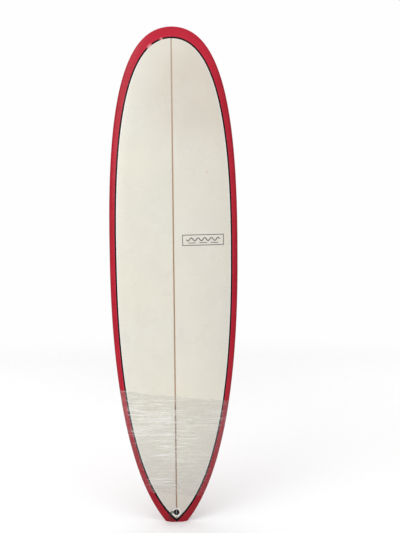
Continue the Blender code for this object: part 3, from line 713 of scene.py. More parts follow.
def film_look():
    """Clear stretch film: thin haze, whiter in its creases, with white streaks that are partly
    painted highlight, more of them on the left where the light falls, and a gloss of its own.
    """
    look = Look("stretch_film")
    fine = look.noise(210.0, 3.0, 0.55, look.stretched(0.036, 0.036, 1.0))
    broad = look.noise(90.0, 2.0, 0.5, look.stretched(0.045, 0.045, 1.0))
    patches = look.noise(6.0, 3.0, 0.6, look.stretched(0.7, 0.7, 2.0))
    patchy = look.ramp(patches, 0.36, 0.62, 0.18, 1.0)
    # Painted highlight: more white streaks on the left, where the light falls
    left = look.ramp(look.part("X"), 0.12, -0.06, 0.72, 0.94)
    calm = look.times(look.ramp(look.part("Z"), 0.22, 0.46, 0.66, 1.0), look.mark("slack"))
    busy = look.times(look.times(patchy, left), calm)
    # White streaks: partly the film's own creasing, partly painted highlight
    streaks_and_highlights = look.plus(look.times(look.ramp(fine, 0.52, 0.62), 0.56),
                        look.times(look.ramp(broad, 0.52, 0.62), 0.20))
    share = look.plus(look.mark("haze"), look.times(busy, streaks_and_highlights))
    colour = look.mix(look.ramp(share, 0.12, 0.24), (0.42, 0.42, 0.43), (0.99, 0.99, 0.97))
    look.set(Base_Color=colour, Roughness=0.25, IOR=1.4, Alpha=look.math("MINIMUM", share, 0.85))
    ridge = look.bump(look.plus(fine, broad), 0.0006, 0.45)
    gloss = look.node("ShaderNodeBsdfGlossy", {"Color": (0.9, 0.9, 0.9), "Roughness": 0.12,
                                               "Normal": ridge})
    facing = look.node("ShaderNodeLayerWeight", {"Blend": 0.5, "Normal": ridge}).outputs["Facing"]
    grazing = look.times(look.ramp(look.part("Z"), 0.20, 0.44, 0.45, 1.0),
                         look.math("POWER", facing, 3.0))
    mirror = look.math("MULTIPLY_ADD", grazing, 0.40, 0.022)
    both = look.node("ShaderNodeMixShader", {0: mirror, 1: look.shader.outputs[0],
                                             2: gloss.outputs[0]})
    look.feed(look.output.inputs["Surface"], both.outputs[0])
    return look.material


# ---------------------------------------------------------------- the skins

NOSE_STEPS = np.linspace(0, 1, 96) ** 1.2
TAIL_STEPS = np.linspace(0, 1, 110)
CORNER_STEPS = np.linspace(0, 1, 12)
LAP_SHARE_AT_CORNER = 0.975
TAIL_LAP_STEPS = np.append(TAIL_STEPS * LAP_SHARE_AT_CORNER,
                           np.linspace(LAP_SHARE_AT_CORNER, 1, len(CORNER_STEPS))[1:])
RAIL_SHARES = np.linspace(0, 1, 15) ** 1.6
DECK_SHARES = np.linspace(0, 1, 20)
BOTTOM_SHARES = 1 - np.linspace(0, 1, 27)[1:] ** 1.9
SKIN_UNDER_LAP = 2.0 * MM
TAIL_MITRE = 1.32

# The red skin's "across" mark is 0 at the lap, 1 at the rail and 2 at the bottom's centre line
TAIL_STRIP_MARK, TAIL_END_MARK = 0.4, 0.9

# The pinline's section, as (share of its half width, share of its height)
PINLINE_CROWN = ((1.0, -0.9), (0.93, 0.6), (0.6, 1.0), (0.0, 1.0),
                 (-0.6, 1.0), (-0.93, 0.6), (-1.0, -0.9))
PINLINE_SWELL = 0.55
SWELL_STATIONS = 60


def outline_stations(depth):
    return inset(outline_curve(NOSE_STEPS, TAIL_STEPS, CORNER_STEPS), depth)


def lap_stations(offset):
    """The lap line, moved towards the centre line by an offset, or by one for each station.

    The offset line ends where it meets its own mirror image on the centre line.
    """
    curve = inset(lap_curve(NOSE_STEPS, TAIL_LAP_STEPS), offset)
    curve[-1] = (0.0, LAP_TAIL + TAIL_MITRE * np.ravel(offset)[-1])
    beyond = (curve[:, 0] <= 0.0) | (curve[:, 1] < curve[-1, 1])
    curve[beyond & (curve[:, 1] < WIDE_POINT)] = curve[-1]
    return curve


def deck_rows(depth):
    x, z = lap_stations(SKIN_UNDER_LAP).T
    return surface(x[:, None] * DECK_SHARES, z[:, None], DECK, depth)


def make_deck_skin(material, cup_cutter):
    """The clear laminate inside the pinline, with the leash cup's hole."""
    bm = bmesh.new()
    layer = bm.verts.layers.float.new("lap_distance")
    outer_rows = deck_rows(0.0)
    reach = lap_stations(SKIN_UNDER_LAP)[:, :1] * (1 - DECK_SHARES)
    outer = bridge_halves(bm, outer_rows, False, reach, layer)
    inner = bridge_halves(bm, deck_rows(SKIN), True, reach, layer)
    for top, under in zip(outer, inner):
        join_edges(bm, [row[-1] for row in top], [row[-1] for row in under])
    skin = finish_mesh("deck_skin", bm, material)
    cut(skin, cup_cutter)
    return add_piece(skin, BOARD, "cream_skin", "deck_laminate")


def red_rows(depth):
    """Right half of the red skin, in rows from the lap, round the rail, to the bottom's middle."""
    rail = outline_stations(depth)
    lap = lap_stations(-SKIN_UNDER_LAP)
    plan = rail[:, None, :] + (lap - rail)[:, None, :] * RAIL_SHARES[::-1, None]
    over = surface(plan[..., 0], plan[..., 1], DECK, depth)
    under = surface(rail[:, :1] * BOTTOM_SHARES, rail[:, 1:], BOTTOM, depth)
    return np.concatenate([over, under], axis=1)


def close_tail(bm, row, depth, flip, layer):
    """The flat end of the tail and the strip of deck between it and the lap's point."""
    lap = len(RAIL_SHARES)
    edge = surface(row[:lap, 0], np.full(lap, depth), DECK, depth)
    strip = np.full((2, lap), TAIL_STRIP_MARK)
    bridge_halves(bm, np.stack([row[:lap], edge]), flip, strip, layer)
    half = np.concatenate([edge, row[lap:]])
    for outline in (half, mirrored(half)[::-1]):
        face = [bm.verts.new(p) for p in outline]
        for vert in face:
            vert[layer] = TAIL_END_MARK
        bm.faces.new(face[::-1] if flip else face)


def make_red_skin(material, box_cutters):
    """The pigmented laminate: bottom, rails, tail end and the lap onto the deck."""
    bm = bmesh.new()
    layer = bm.verts.layers.float.new("across")
    across = np.concatenate([1 - RAIL_SHARES[::-1], 2 - BOTTOM_SHARES])
    grids = []
    for depth, flip in ((0.0, False), (SKIN, True)):
        rows = red_rows(depth)
        marks = np.tile(across, (len(rows), 1))
        grids.append(bridge_halves(bm, rows, flip, marks, layer))
        close_tail(bm, rows[-1], depth, flip, layer)
    for outer, inner in zip(*grids):
        join_edges(bm, [row[0] for row in outer], [row[0] for row in inner])
    skin = finish_mesh("red_skin", bm, material)
    for cutter in box_cutters:
        cut(skin, cutter)
    return add_piece(skin, BOARD, "red_skin", "bottom_laminate")


def make_pinline(material):
    """A line of paint over the joint of the skins, heavier where its ends meet at the tail."""
    bm = bmesh.new()
    count = len(lap_stations(0.0))
    into_swell = np.arange(count) - (count - SWELL_STATIONS)
    swell = np.clip(into_swell / (SWELL_STATIONS - 1), 0, 1) ** 2
    half = PINLINE_HALF * (1 + PINLINE_SWELL * swell)
    strips = []
    for side, height in PINLINE_CROWN:
        x, z = lap_stations(-side * half).T
        strips.append(surface(x, z, DECK, -height * PINLINE_PROUD))
    outer = bridge_halves(bm, np.stack(strips, axis=1))
    under = np.stack([strips[0], strips[-1]], axis=1)
    for grid, rows in zip(outer, (under, mirrored(under))):
        join_edges(bm, [row[-1] for row in grid], [row[0] for row in grid])
    return add_piece(finish_mesh("pinline", bm, material), BOARD, "black_line", "deck_pinline")


# ---------------------------------------------------------------- emblem

EMBLEM_LINE = 3.2 * MM
INK = 0.10 * MM
INK_SECTION = ((1, -0.3 * INK), (1, INK), (-1, INK), (-1, -0.3 * INK), (1, -0.3 * INK))
WAVE_HALF_LENGTH = 0.074
WAVE_MIDDLE, WAVE_HEIGHT, WAVE_LINE = 3.0 * MM, 6.5 * MM, 4.2 * MM
WAVE_HALF_TURNS = 5
DASH_PLACES = (-0.050, 0.0, 0.050)
DASH_HALF_LENGTH = 0.017
DASH_DROP, DASH_LINE = -12.5 * MM, 3.0 * MM


def on_emblem(points):
    """Places in plan of points given from the emblem's middle."""
    tilt = Matrix.Rotation(EMBLEM_TILT, 2)
    return [Vector(EMBLEM_CENTRE) + tilt @ Vector(p) for p in points]


def ink_strip(bm, points, width):
    """A printed line of even width along points in plan."""
    centre = np.array([tuple(p) for p in on_emblem(points)])
    along = np.gradient(centre, axis=0)
    along /= np.linalg.norm(along, axis=1)[:, None]
    aside = np.column_stack([-along[:, 1], along[:, 0]]) * width / 2
    rows = []
    for side, height in INK_SECTION:
        x, z = (centre + side * aside).T
        rows.append(surface(x, z, DECK, -height))
    grid = bridge_grid(bm, np.stack(rows, axis=1))
    for end in (grid[0], grid[-1]):
        bm.faces.new(end[:-1])


def make_emblem(material):
    """A generic print: a frame round a line of waves with three dashes under it."""
    bm = bmesh.new()
    half_width, half_height = EMBLEM_SIZE[0] / 2, EMBLEM_SIZE[1] / 2
    inner = EMBLEM_LINE / 2
    reach = half_height - EMBLEM_LINE
    few, more, many = (np.linspace(-1, 1, count) for count in (9, 33, 141))
    for side in (1, -1):
        ink_strip(bm, [(half_width * s, side * (half_height - inner)) for s in more], EMBLEM_LINE)
        ink_strip(bm, [(side * (half_width - inner), reach * s) for s in few], EMBLEM_LINE)
    turns = WAVE_HALF_TURNS * math.pi
    waves = [(WAVE_HALF_LENGTH * s, WAVE_MIDDLE + WAVE_HEIGHT * math.sin(turns * s)) for s in many]
    ink_strip(bm, waves, WAVE_LINE)
    for middle in DASH_PLACES:
        ink_strip(bm, [(middle + DASH_HALF_LENGTH * s, DASH_DROP) for s in few], DASH_LINE)
    emblem = finish_mesh("emblem_print", bm, material, weld=0.01 * MM)
    return add_piece(emblem, BOARD, "print", "deck_emblem")


# ---------------------------------------------------------------- stretch wrap

WRAP_BANDS = ((70, "foot"), (62, "waist"), (130, "split"), (130, "top"))
WRAP_DECK_COLUMNS = 120
WRAP_BOTTOM_COLUMNS = 90
WRAP_HALF_WIDTH = 0.19
WRAP_FLARE = 9 * MM
WRAP_SEED = 7
EDGE_ROLL = 0.25 * MM
ROLLED_WIDTH = 5 * MM
TIGHT_WIDTH, EASING_WIDTH = 16 * MM, 22 * MM
RAIL_SLACK, DECK_SLACK, BOTTOM_SLACK = 0.22, 0.78, 0.30
RAIL_CLEARING = 0.75
INSIDE_HULL = np.array([0.0, 0.03, 0.0])

# The film's creases: lower in one band of heights, and higher left of centre in three bands,
# given as (low, high, gain)
CREASES_ON_DECK, CREASES_BELOW = 360, 200
CALM_LOW, CALM_HIGH, CALM_GAIN = 0.20, 0.40, 0.62
CREASED_BANDS = ((0.46, 0.53, 1.9), (0.40, 0.46, 1.2), (0.15, 0.195, 1.1))
CREASE_STEEPNESS = 0.55

# How solid the film looks: a base that grows with height, overlaps, creases and rolled edges
HAZE_BASE, HAZE_GROWTH = 0.052, 0.034
HAZE_OVERLAP, HAZE_CREASE, HAZE_EDGE = 0.024, 0.50, 0.12
OVERLAP_RATE, OVERLAP_DRIFT_RATE = 62, 17


def slanted(pair, x):
    """Height of an edge of the film at x: its left and right heights hold at WRAP_HALF_SPAN."""
    left, right = pair
    return (left + right) / 2 + (right - left) / 2 * x / WRAP_HALF_SPAN


def wrap_places(x_share, flare, wobble):
    """Heights of the film's rows in one column, from its foot to its top."""
    x = WRAP_HALF_WIDTH * x_share
    lines = [slanted(WRAP_FOOT, x) + wobble[0], WRAP_WAIST[0] - flare, WRAP_WAIST[1] + flare,
             WRAP_SPLIT - flare, slanted(WRAP_TOP, 1.2 * x) + wobble[1]]
    rows = []
    for (count, _), low, high in zip(WRAP_BANDS, lines, lines[1:]):
        rows.extend(np.linspace(low, high, count, endpoint=False))
    return np.array([*rows, lines[-1]])


def crease_field(around, up, rng, on_deck):
    """Height of the film's creases: long narrow ridges across the board, most left of centre."""
    height = np.zeros_like(up)
    for _ in range(CREASES_ON_DECK if on_deck else CREASES_BELOW):
        level = rng.uniform(0.13, 0.60)
        centre = rng.normal(-0.05, 0.10) if on_deck else rng.uniform(-0.5, 0.5)
        busy = rng.uniform(0.15, 1.0) * (CALM_GAIN if CALM_LOW < level < CALM_HIGH else 1.0)
        for low, high, gain in CREASED_BANDS:
            if low < level < high and centre < 0.02:
                busy *= gain
        long = rng.uniform(0.030, 0.120)
        wide = rng.uniform(0.9, 2.2) * MM
        slope = rng.normal(-0.012, 0.014)
        near = np.abs(up - level) < 0.03
        along = (around - centre) / long
        off = (up - level - slope * (around - centre)) / wide
        ridge = np.exp(-off ** 2) * np.clip(1 - along ** 2, 0, 1) ** 2
        height += np.where(near, ridge * busy, 0.0) * wide * CREASE_STEEPNESS
    return height


def wrap_columns():
    """Section angles of the film's columns, once round the board from the bottom's centre line."""
    bottom = np.linspace(-180, -90, WRAP_BOTTOM_COLUMNS // 2, endpoint=False)
    deck = np.linspace(-90, 90, WRAP_DECK_COLUMNS, endpoint=False)
    last = np.linspace(90, 180, WRAP_BOTTOM_COLUMNS // 2 + 1)
    return np.radians(np.concatenate([bottom, deck, last]))


def wrap_heights(angles):
    """Heights of the film's rows at each column; its edges wander a little round the board."""
    columns = []
    for angle in angles:
        from_rail = WRAP_HALF_WIDTH * abs(abs(math.sin(angle)) - 1)
        flare = WRAP_FLARE * math.exp(-from_rail / WRAP_FLARE)
        wobble = (2.2 * MM * math.sin(9 * angle) + 1.1 * MM * math.sin(23 * angle + 1),
                  1.2 * MM * math.sin(7 * angle + 2) + 0.8 * MM * math.sin(19 * angle))
        columns.append(wrap_places(math.sin(angle), flare, wobble))
    return np.column_stack(columns)


def outward_normals(hull):
    normal = np.cross(np.gradient(hull, axis=1), np.gradient(hull, axis=0))
    normal /= np.maximum(np.linalg.norm(normal, axis=2), 1e-9)[..., None]
    outward = np.sign(((hull - INSIDE_HULL) * normal * np.array([1, 1, 0])).sum(2))[..., None]
    return normal * outward


def make_wrap(material):
    """One skin of film round the board. On the bottom it passes above and below the side fins."""
    rng = np.random.default_rng(WRAP_SEED)
    angles = wrap_columns()
    on_deck = np.abs(angles) <= math.radians(90.01)
    up = wrap_heights(angles)
    x = half_width_at(up) * np.sin(angles)
    deck_side = surface(x, up, DECK)
    bottom_side = surface(x, up, BOTTOM)
    hull = np.where(on_deck[None, :, None], deck_side, bottom_side)
    around = np.sign(np.sin(angles)) * np.where(on_deck, 0.22 * np.abs(angles), 0.5)
    lift = np.where(on_deck, crease_field(around + 0 * up, up, rng, True),
                    crease_field(0.25 * angles + 0 * up, up, rng, False))
    edge = edge_share(up)
    points = hull + outward_normals(hull) * (WRAP_LIFT + lift + EDGE_ROLL * edge)[..., None]
    # Drawn tight over the rails, the film shows less of its creases there, and less haze low down
    inside = np.clip((half_width_at(up) - np.abs(x) - TIGHT_WIDTH) / EASING_WIDTH, 0, 1)
    slack = RAIL_SLACK + np.where(on_deck, DECK_SLACK, BOTTOM_SLACK) * inside
    haze = film_haze(lift * slack, edge, up, around)
    haze *= 1 - RAIL_CLEARING * (1 - inside) * np.clip((0.46 - up) / 0.20, 0, 1)
    wrap_object(points, haze, slack, on_deck, material)


def edge_share(up):
    """1 at the film's upper and lower edges, where it is rolled over, falling to 0 inside."""
    top = np.clip(1 - (up[-1] - up) / ROLLED_WIDTH, 0, 1)
    foot = np.clip(1 - (up - up[0]) / ROLLED_WIDTH, 0, 1)
    return np.maximum(top, foot) ** 2


def film_haze(lift, edge, up, around):
    """How solid the film looks: more where turns overlap, in the creases and at its edges."""
    drift = 3 * np.sin(up * OVERLAP_DRIFT_RATE)
    turns = 0.5 + 0.5 * np.sin(up * OVERLAP_RATE + drift + around * 4)
    steep = np.abs(np.gradient(lift, axis=0)) / np.maximum(np.abs(np.gradient(up, axis=0)), 1e-5)
    creased = np.clip(1.1 * steep, 0, 1) ** 1.6
    return (HAZE_BASE + HAZE_GROWTH * np.clip((up - 0.20) / 0.20, 0, 1) + HAZE_OVERLAP * turns
            + HAZE_CREASE * creased + HAZE_EDGE * edge)


def wrap_object(points, haze, slack, on_deck, material):
    """The film's mesh, left open on the bottom where the fins stand."""
    rows, columns = points.shape[:2]
    skipped = set()
    first = 0
    for count, name in WRAP_BANDS:
        if name in ("foot", "split"):
            skipped.update(range(first, first + count))
        first += count
    bm = bmesh.new()
    haze_layer = bm.verts.layers.float.new("haze")
    slack_layer = bm.verts.layers.float.new("slack")
    verts = {}

    def vert(i, j):
        if (i, j) not in verts:
            verts[i, j] = bm.verts.new(points[i, j])
            verts[i, j][haze_layer] = haze[i, j]
            verts[i, j][slack_layer] = slack[i, j]
        return verts[i, j]

    for i in range(rows - 1):
        for j in range(columns - 1):
            if i in skipped and not (on_deck[j] and on_deck[j + 1]):
                continue
            bm.faces.new([vert(i, j), vert(i, j + 1), vert(i + 1, j + 1), vert(i + 1, j)])
    film = finish_mesh("stretch_film", bm, material, sharp=180)
    add_piece(film, BOARD, "film", "stretch_wrap_upper", "stretch_wrap_lower")


# ---------------------------------------------------------------- leash cup, pin and string

CUP_FRAME = Matrix.Translation(deck_point(0.0, CUP_HEIGHT)) @ Matrix((
    (1, 0, 0, 0), (0, 0, -1, 0), (0, 1, 0, 0), (0, 0, 0, 1)))
CUP_SIDES = 72
CUP_SHARP = 30
CUTTER_TOP = 5 * MM


def arc(centre, radius, start, end, steps):
    """Points of an arc in the (radius, height) half plane, angles in degrees."""
    return [(centre[0] + radius * math.cos(a), centre[1] + radius * math.sin(a))
            for a in np.radians(np.linspace(start, end, steps))]


def make_cup_cutter(material):
    """The cup's outer shape with a gap round it."""
    rim, wall, floor = CUP_RIM_RADIUS + GAP, CUP_RADIUS + GAP, -CUP_DEPTH - GAP
    profile = [(0, CUTTER_TOP), (rim, CUTTER_TOP), (rim, -1.6 * MM), (wall, -2.4 * MM),
               (wall, floor), (0, floor)]
    return turned("cut_cup", profile, CUP_SIDES, material, CUP_FRAME)


def make_leash_cup(material):
    """A moulded cup with a rounded lip, a coved floor and a shoulder under the lip."""
    floor = -CUP_DEPTH + 2 * MM
    cove, lip, ease = 2.4 * MM, 0.7 * MM, 0.6 * MM
    profile = [(0, floor)] + arc((CUP_BORE - cove, floor + cove), cove, -90, 0, 7)
    profile += arc((CUP_BORE + lip, -lip), lip, 180, 90, 6)
    profile += arc((CUP_RIM_RADIUS - lip, -lip), lip, 90, 0, 6)
    profile += [(CUP_RIM_RADIUS, -1.3 * MM), (CUP_RADIUS, -2.0 * MM),
                (CUP_RADIUS, -CUP_DEPTH + ease), (CUP_RADIUS - ease, -CUP_DEPTH), (0, -CUP_DEPTH)]
    cup = turned("leash_cup_moulding", profile, CUP_SIDES, material, CUP_FRAME, CUP_SHARP)
    return add_piece(cup, BOARD, "black_plastic", "leash_cup")


def make_leash_pin(material):
    lying = Matrix.Rotation(math.radians(90), 4, "X")
    place = CUP_FRAME @ Matrix.Translation((0, 0, -PIN_DEPTH)) @ lying
    pin = chamfered_rod("leash_pin_rod", PIN_RADIUS, -PIN_HALF_LENGTH, PIN_HALF_LENGTH, 0.3 * MM,
                        material, place)
    return add_piece(pin, BOARD, "steel", "leash_pin")


# The string's route, as in the CAD: (across, along, height) from the cup's middle in millimetres,
# then places in plan on the deck.
STRING_IN_CUP = ((3.6, 1.7, -3.2), (3.5, 1.7, -6.6), (1.6, 1.7, -9.2), (-1.6, 1.7, -9.2),
                 (-4.6, 1.8, -5.6), (-7.0, 2.2, -1.0), (-8.9, 2.5, 1.45), (-11.6, 2.8, 2.0))
STRING_ON_DECK = ((-0.0185, 0.0492), (-0.0245, 0.0470), (-0.0295, 0.0415), (-0.0325, 0.0335),
                  (-0.0345, 0.0250), (-0.0345, 0.0165), (-0.0310, 0.0095), (-0.0245, 0.0060),
                  (-0.0190, 0.0085), (-0.0195, 0.0145), (-0.0245, 0.0205), (-0.0275, 0.0275),
                  (-0.0275, 0.0345), (-0.0245, 0.0405), (-0.0190, 0.0430))
STRING_STEP = 0.45 * MM
STRING_SIDES, KNOT_SIDES = 16, 12
BRAID_PITCH, BRAID_STRANDS = 5.2 * MM, 4


def string_route():
    cup_out = [CUP_FRAME @ (Vector(p) * MM) for p in STRING_IN_CUP]
    cup_back = [CUP_FRAME @ (Vector((p[0], -p[1], p[2])) * MM) for p in STRING_IN_CUP[::-1]]
    on_deck = [deck_point(x, z, -STRING_CLEARANCE) for x, z in STRING_ON_DECK]
    return cup_out + on_deck + cup_back


def smooth_points(points, spacing):
    """Points at equal steps along a Catmull-Rom curve through the given points."""
    padded = [2 * points[0] - points[1], *points, 2 * points[-1] - points[-2]]
    dense = []
    for a, b, c, d in zip(padded, padded[1:], padded[2:], padded[3:]):
        for t in np.linspace(0, 1, 12, endpoint=False):
            dense.append(0.5 * (2 * b + (c - a) * t + (2 * a - 5 * b + 4 * c - d) * t ** 2
                                + (3 * b - a - 3 * c + d) * t ** 3))
    dense.append(padded[-2])
    table = np.array([tuple(p) for p in dense])
    steps = np.concatenate([[0], np.cumsum(np.linalg.norm(np.diff(table, axis=0), axis=1))])
    places = np.linspace(0, steps[-1], max(2, round(steps[-1] / spacing)) + 1)
    return np.column_stack([np.interp(places, steps, table[:, axis]) for axis in range(3)])


def swept_tube(name, line, radius_at, sides, material, sharp=80):
    """A tube along a line; radius_at gives its radius at a distance along and an angle round."""
    tangent = np.gradient(line, axis=0)
    tangent /= np.linalg.norm(tangent, axis=1)[:, None]
    aside = np.cross(tangent[0], (0.3, 0.9, 0.2))
    along = np.concatenate([[0], np.cumsum(np.linalg.norm(np.diff(line, axis=0), axis=1))])
    rings = []
    for point, direction, distance in zip(line, tangent, along):
        aside = aside - direction * (aside @ direction)
        aside /= np.linalg.norm(aside)
        other = np.cross(direction, aside)
        ring = []
        for angle in np.linspace(0, math.tau, sides, endpoint=False):
            radius = radius_at(distance, angle)
            ring.append(point + radius * (math.cos(angle) * aside + math.sin(angle) * other))
        rings.append(ring)
    return layered(name, rings, material, None, sharp)


def braid(distance, angle):
    """Radius of a braid: strands that cross in both directions stand proud of it."""
    phase = math.tau * distance / BRAID_PITCH
    one = abs(math.sin(BRAID_STRANDS * angle / 2 + phase))
    two = abs(math.sin(BRAID_STRANDS * angle / 2 - phase))
    return STRING_RADIUS * (0.86 + 0.14 * max(one, two))


def make_string(material):
    """The leash string, a loose loop whose two ends meet in the knot beside the pin."""
    line = smooth_points(string_route(), STRING_STEP)
    string = swept_tube("leash_string_braid", line, braid, STRING_SIDES, material)
    add_piece(string, BOARD, "string", "leash_string")
    knot = make_knot(material)


def make_knot(material):
    """An overhand knot: a small trefoil of string, drawn tight."""
    low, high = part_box("leash_knot")
    middle, reach = (low + high) / 2, (high - low) / 2
    thick = 1.0 * MM
    t = np.linspace(0, math.tau, 90)
    shape = np.column_stack([(np.sin(t) + 2 * np.sin(2 * t)) / 2.6, -np.sin(3 * t),
                             (np.cos(t) - 2 * np.cos(2 * t)) / 3.0])
    line = np.array(middle) + shape * (np.array(reach) - thick)

    def radius_at(distance, angle):
        return thick * braid(distance, angle) / STRING_RADIUS

    knot = swept_tube("leash_string_knot", line, radius_at, KNOT_SIDES, material)
    return add_piece(knot, BOARD, "string", "leash_knot")


# ---------------------------------------------------------------- fin boxes, fins and screws

POD_CENTRES = (POD_SPACING / 2, -POD_SPACING / 2)
POCKET_TOP = 6 * MM
SCREW_SHARP = 30
SOCKET_RADIUS, SOCKET_DEPTH = 1.3 * MM, 2.5 * MM


def fin_frame(x, height, toe):
    """Frame of a fin: local X along its base to the nose, local Z out of the bottom."""
    step = 0.001
    slope = (bottom_line(height + step) - bottom_line(height - step)) / (2 * step)
    pitch = math.atan(slope)
    cos, sin = math.cos(pitch), math.sin(pitch)
    origin = Vector(surface(x, height, BOTTOM))
    turn = Matrix(((0, 1, 0, 0), (sin, 0, cos, 0), (cos, 0, -sin, 0), (0, 0, 0, 1)))
    return Matrix.Translation(origin) @ turn @ Matrix.Rotation(toe, 4, "Z")


def box_outline(grow, height):
    """Plan of a fin box: two round pods joined by a waist."""
    radius = POD_RADIUS + grow
    waist = BOX_WAIST + grow
    opening = math.asin(waist / radius)
    points = []
    for end in (1, -1):
        centre, reach = end * POD_SPACING / 2, end * radius
        for angle in np.linspace(-math.pi + opening, math.pi - opening, 41):
            points.append((centre + reach * math.cos(angle), reach * math.sin(angle), height))
    return points


def block(name, centre_x, size, low, high, material, matrix):
    """A plain box, for slots and tabs."""
    x, y = size[0] / 2, size[1] / 2
    corners = [(centre_x - x, -y), (centre_x + x, -y), (centre_x + x, y), (centre_x - x, y)]
    return layered(name, [[(*c, h) for c in corners] for h in (low, high)], material, matrix)


def screw_frame(frame_of_fin, centre_x, side):
    """Frame of a set screw beside a slot; the screw's tip points at the slot."""
    lean = Matrix.Rotation(-side * SCREW_TILT, 4, "X")
    return frame_of_fin @ Matrix.Translation((centre_x, side * SCREW_OFFSET, 0)) @ lean


def make_box_cutter(name, place, material):
    rings = [box_outline(GAP, height) for height in (-BOX_DEPTH - GAP, POCKET_TOP)]
    return layered(f"cut_{name}", rings, material, place)


def make_fin_box(name, place, side, material):
    """A moulded box with eased top edges, two slots and two screw holes."""
    ease = 0.5 * MM
    rings = [box_outline(0, -BOX_DEPTH), box_outline(0, -ease),
             box_outline(-0.3 * ease, -0.3 * ease), box_outline(-ease, 0)]
    box = layered(f"{name}_moulding", rings, material, place)
    hole_floor = -SCREW_LENGTH - 3.2 * MM
    for centre in POD_CENTRES:
        cut(box, block("cut_slot", centre, SLOT, -SLOT[2], CUTTER_TOP, material, place))
        cut(box, chamfered_rod("cut_hole", SCREW_RADIUS + GAP, hole_floor, CUTTER_TOP, 0.1 * MM,
                               material, screw_frame(place, centre, side)))
    smooth(box.data, SHARP)
    return add_piece(box, BOARD, "black_plastic", name)


def make_screw(name, place, material):
    """A headless set screw with a chamfer and a six-sided socket."""
    recess = 0.8 * MM
    screw = chamfered_rod(f"{name}_turned", SCREW_RADIUS, -SCREW_LENGTH - recess, -recess,
                          0.35 * MM, material, place)
    hexagon = [(SOCKET_RADIUS * math.cos(a), SOCKET_RADIUS * math.sin(a))
               for a in np.linspace(0, math.tau, 6, endpoint=False)]
    rings = [[(*p, height) for p in hexagon] for height in (-recess - SOCKET_DEPTH, 2 * MM)]
    cut(screw, layered("cut_socket", rings, material, place))
    smooth(screw.data, SCREW_SHARP)
    return add_piece(screw, BOARD, "steel", name)


# The fin's edges in its own plane, from its base to its tip, as (along, up)
FIN_TIP = (-FIN_TIP_SWEEP, FIN_DEPTH)
FIN_STEPS = np.linspace(0, 1, 90)
FIN_LEAD = bezier((FIN_BASE / 2, 0), (FIN_BASE * 0.24, FIN_DEPTH * 0.55),
                  (-FIN_BASE * 0.22, FIN_DEPTH * 1.0), FIN_TIP, FIN_STEPS)
FIN_TRAIL = bezier((-FIN_BASE / 2, 0), (-FIN_BASE * 0.36, FIN_DEPTH * 0.28),
                   (-FIN_BASE * 0.52, FIN_DEPTH * 0.72), FIN_TIP, FIN_STEPS)
FIN_SHARES = np.concatenate([np.linspace(0, 0.9, 30, endpoint=False), np.linspace(0.9, 0.992, 9)])
FIN_PLACES = (1 - np.cos(np.linspace(0, math.pi, 25))) / 2
FIN_TIP_THINNING = 0.72
TAB_OVERLAP = 2.2 * MM
SANDED_WIDTH = 4 * MM


def fin_edges(share):
    """Fore and aft ends of the fin's chord at a share of its depth."""
    height = share * FIN_DEPTH
    return (float(np.interp(height, FIN_LEAD[:, 1], FIN_LEAD[:, 0])),
            float(np.interp(height, FIN_TRAIL[:, 1], FIN_TRAIL[:, 0])))


def foil_ring(share, cant):
    """Points round the fin's section: sharp at the back, round at the front."""
    front, back = fin_edges(share)
    height = GAP + share * (FIN_DEPTH - GAP)
    thinned = (1 - FIN_TIP_THINNING * share) * (1 - 0.06 * math.exp(-share * 30))
    half = 0.5 * FIN_THICKNESS * thinned
    shift = math.tan(cant) * height
    ring = []
    for side, order in ((1, FIN_PLACES[::-1]), (-1, FIN_PLACES[1:-1])):
        for p in order:
            swell = min(1.0, 2.6 * math.sqrt(1 - p) * p + 0.09 * (1 - p) ** 8)
            ring.append((back + (front - back) * p, side * half * swell + shift, height))
    return ring


def make_fin(name, place, cant, body, material):
    """A foiled blade with two tabs; its vertices know how near they are to an edge."""
    fin = layered(f"{name}_blade", [foil_ring(s, cant) for s in FIN_SHARES], material, place)
    size = (SLOT[0] - 2 * GAP, SLOT[1] - 2 * GAP)
    for centre in POD_CENTRES:
        tab = block("add_tab", centre, size, -SLOT[2] + GAP, TAB_OVERLAP, material, place)
        cut(fin, tab, "UNION")
    smooth(fin.data, SHARP)
    mark_fin_edges(fin, place)
    return add_piece(fin, body, "fin", name)


def mark_fin_edges(fin, place):
    """The blade's vertices keep 1 at its edges, falling to 0 inside; the tabs' keep 0."""
    inverse = place.inverted()
    layer = fin.data.attributes.new("edge", "FLOAT", "POINT")
    for k, vert in enumerate(fin.data.vertices):
        local = inverse @ vert.co
        share = min(max(local.z / FIN_DEPTH, 0.0), 0.99)
        front, back = fin_edges(share)
        nearest = min(abs(front - local.x), abs(local.x - back), FIN_DEPTH - local.z)
        layer.data[k].value = max(0.0, 1 - nearest / SANDED_WIDTH) if local.z > 0 else 0.0


# (name, x, height of its middle, toe, cant, the side its screws are on)
FINS = (("left", -SIDE_FIN_OFFSET, SIDE_FIN_HEIGHT, SIDE_FIN_TOE, -SIDE_FIN_CANT, LEFT),
        ("right", SIDE_FIN_OFFSET, SIDE_FIN_HEIGHT, -SIDE_FIN_TOE, SIDE_FIN_CANT, RIGHT),
        ("centre", 0.0, CENTRE_FIN_HEIGHT, 0.0, 0.0, RIGHT))


def make_fin_set(looks):
    """Boxes, fins and screws; returns the cutters of the boxes' pockets."""
    cutters = []
    for name, x, height, toe, cant, side in FINS:
        place = fin_frame(x, height, toe)
        make_fin_box(f"fin_box_{name}", place, side, looks["black_plastic"])
        make_fin(f"fin_{name}", place, cant, f"{name}_fin", looks["fin"])
        for end, centre in zip(("front", "rear"), POD_CENTRES):
            make_screw(f"fin_screw_{name}_{end}", screw_frame(place, centre, side), looks["steel"])
        cutters.append(make_box_cutter(name, place, looks["foam"]))
    return cutters


# ---------------------------------------------------------------- studio

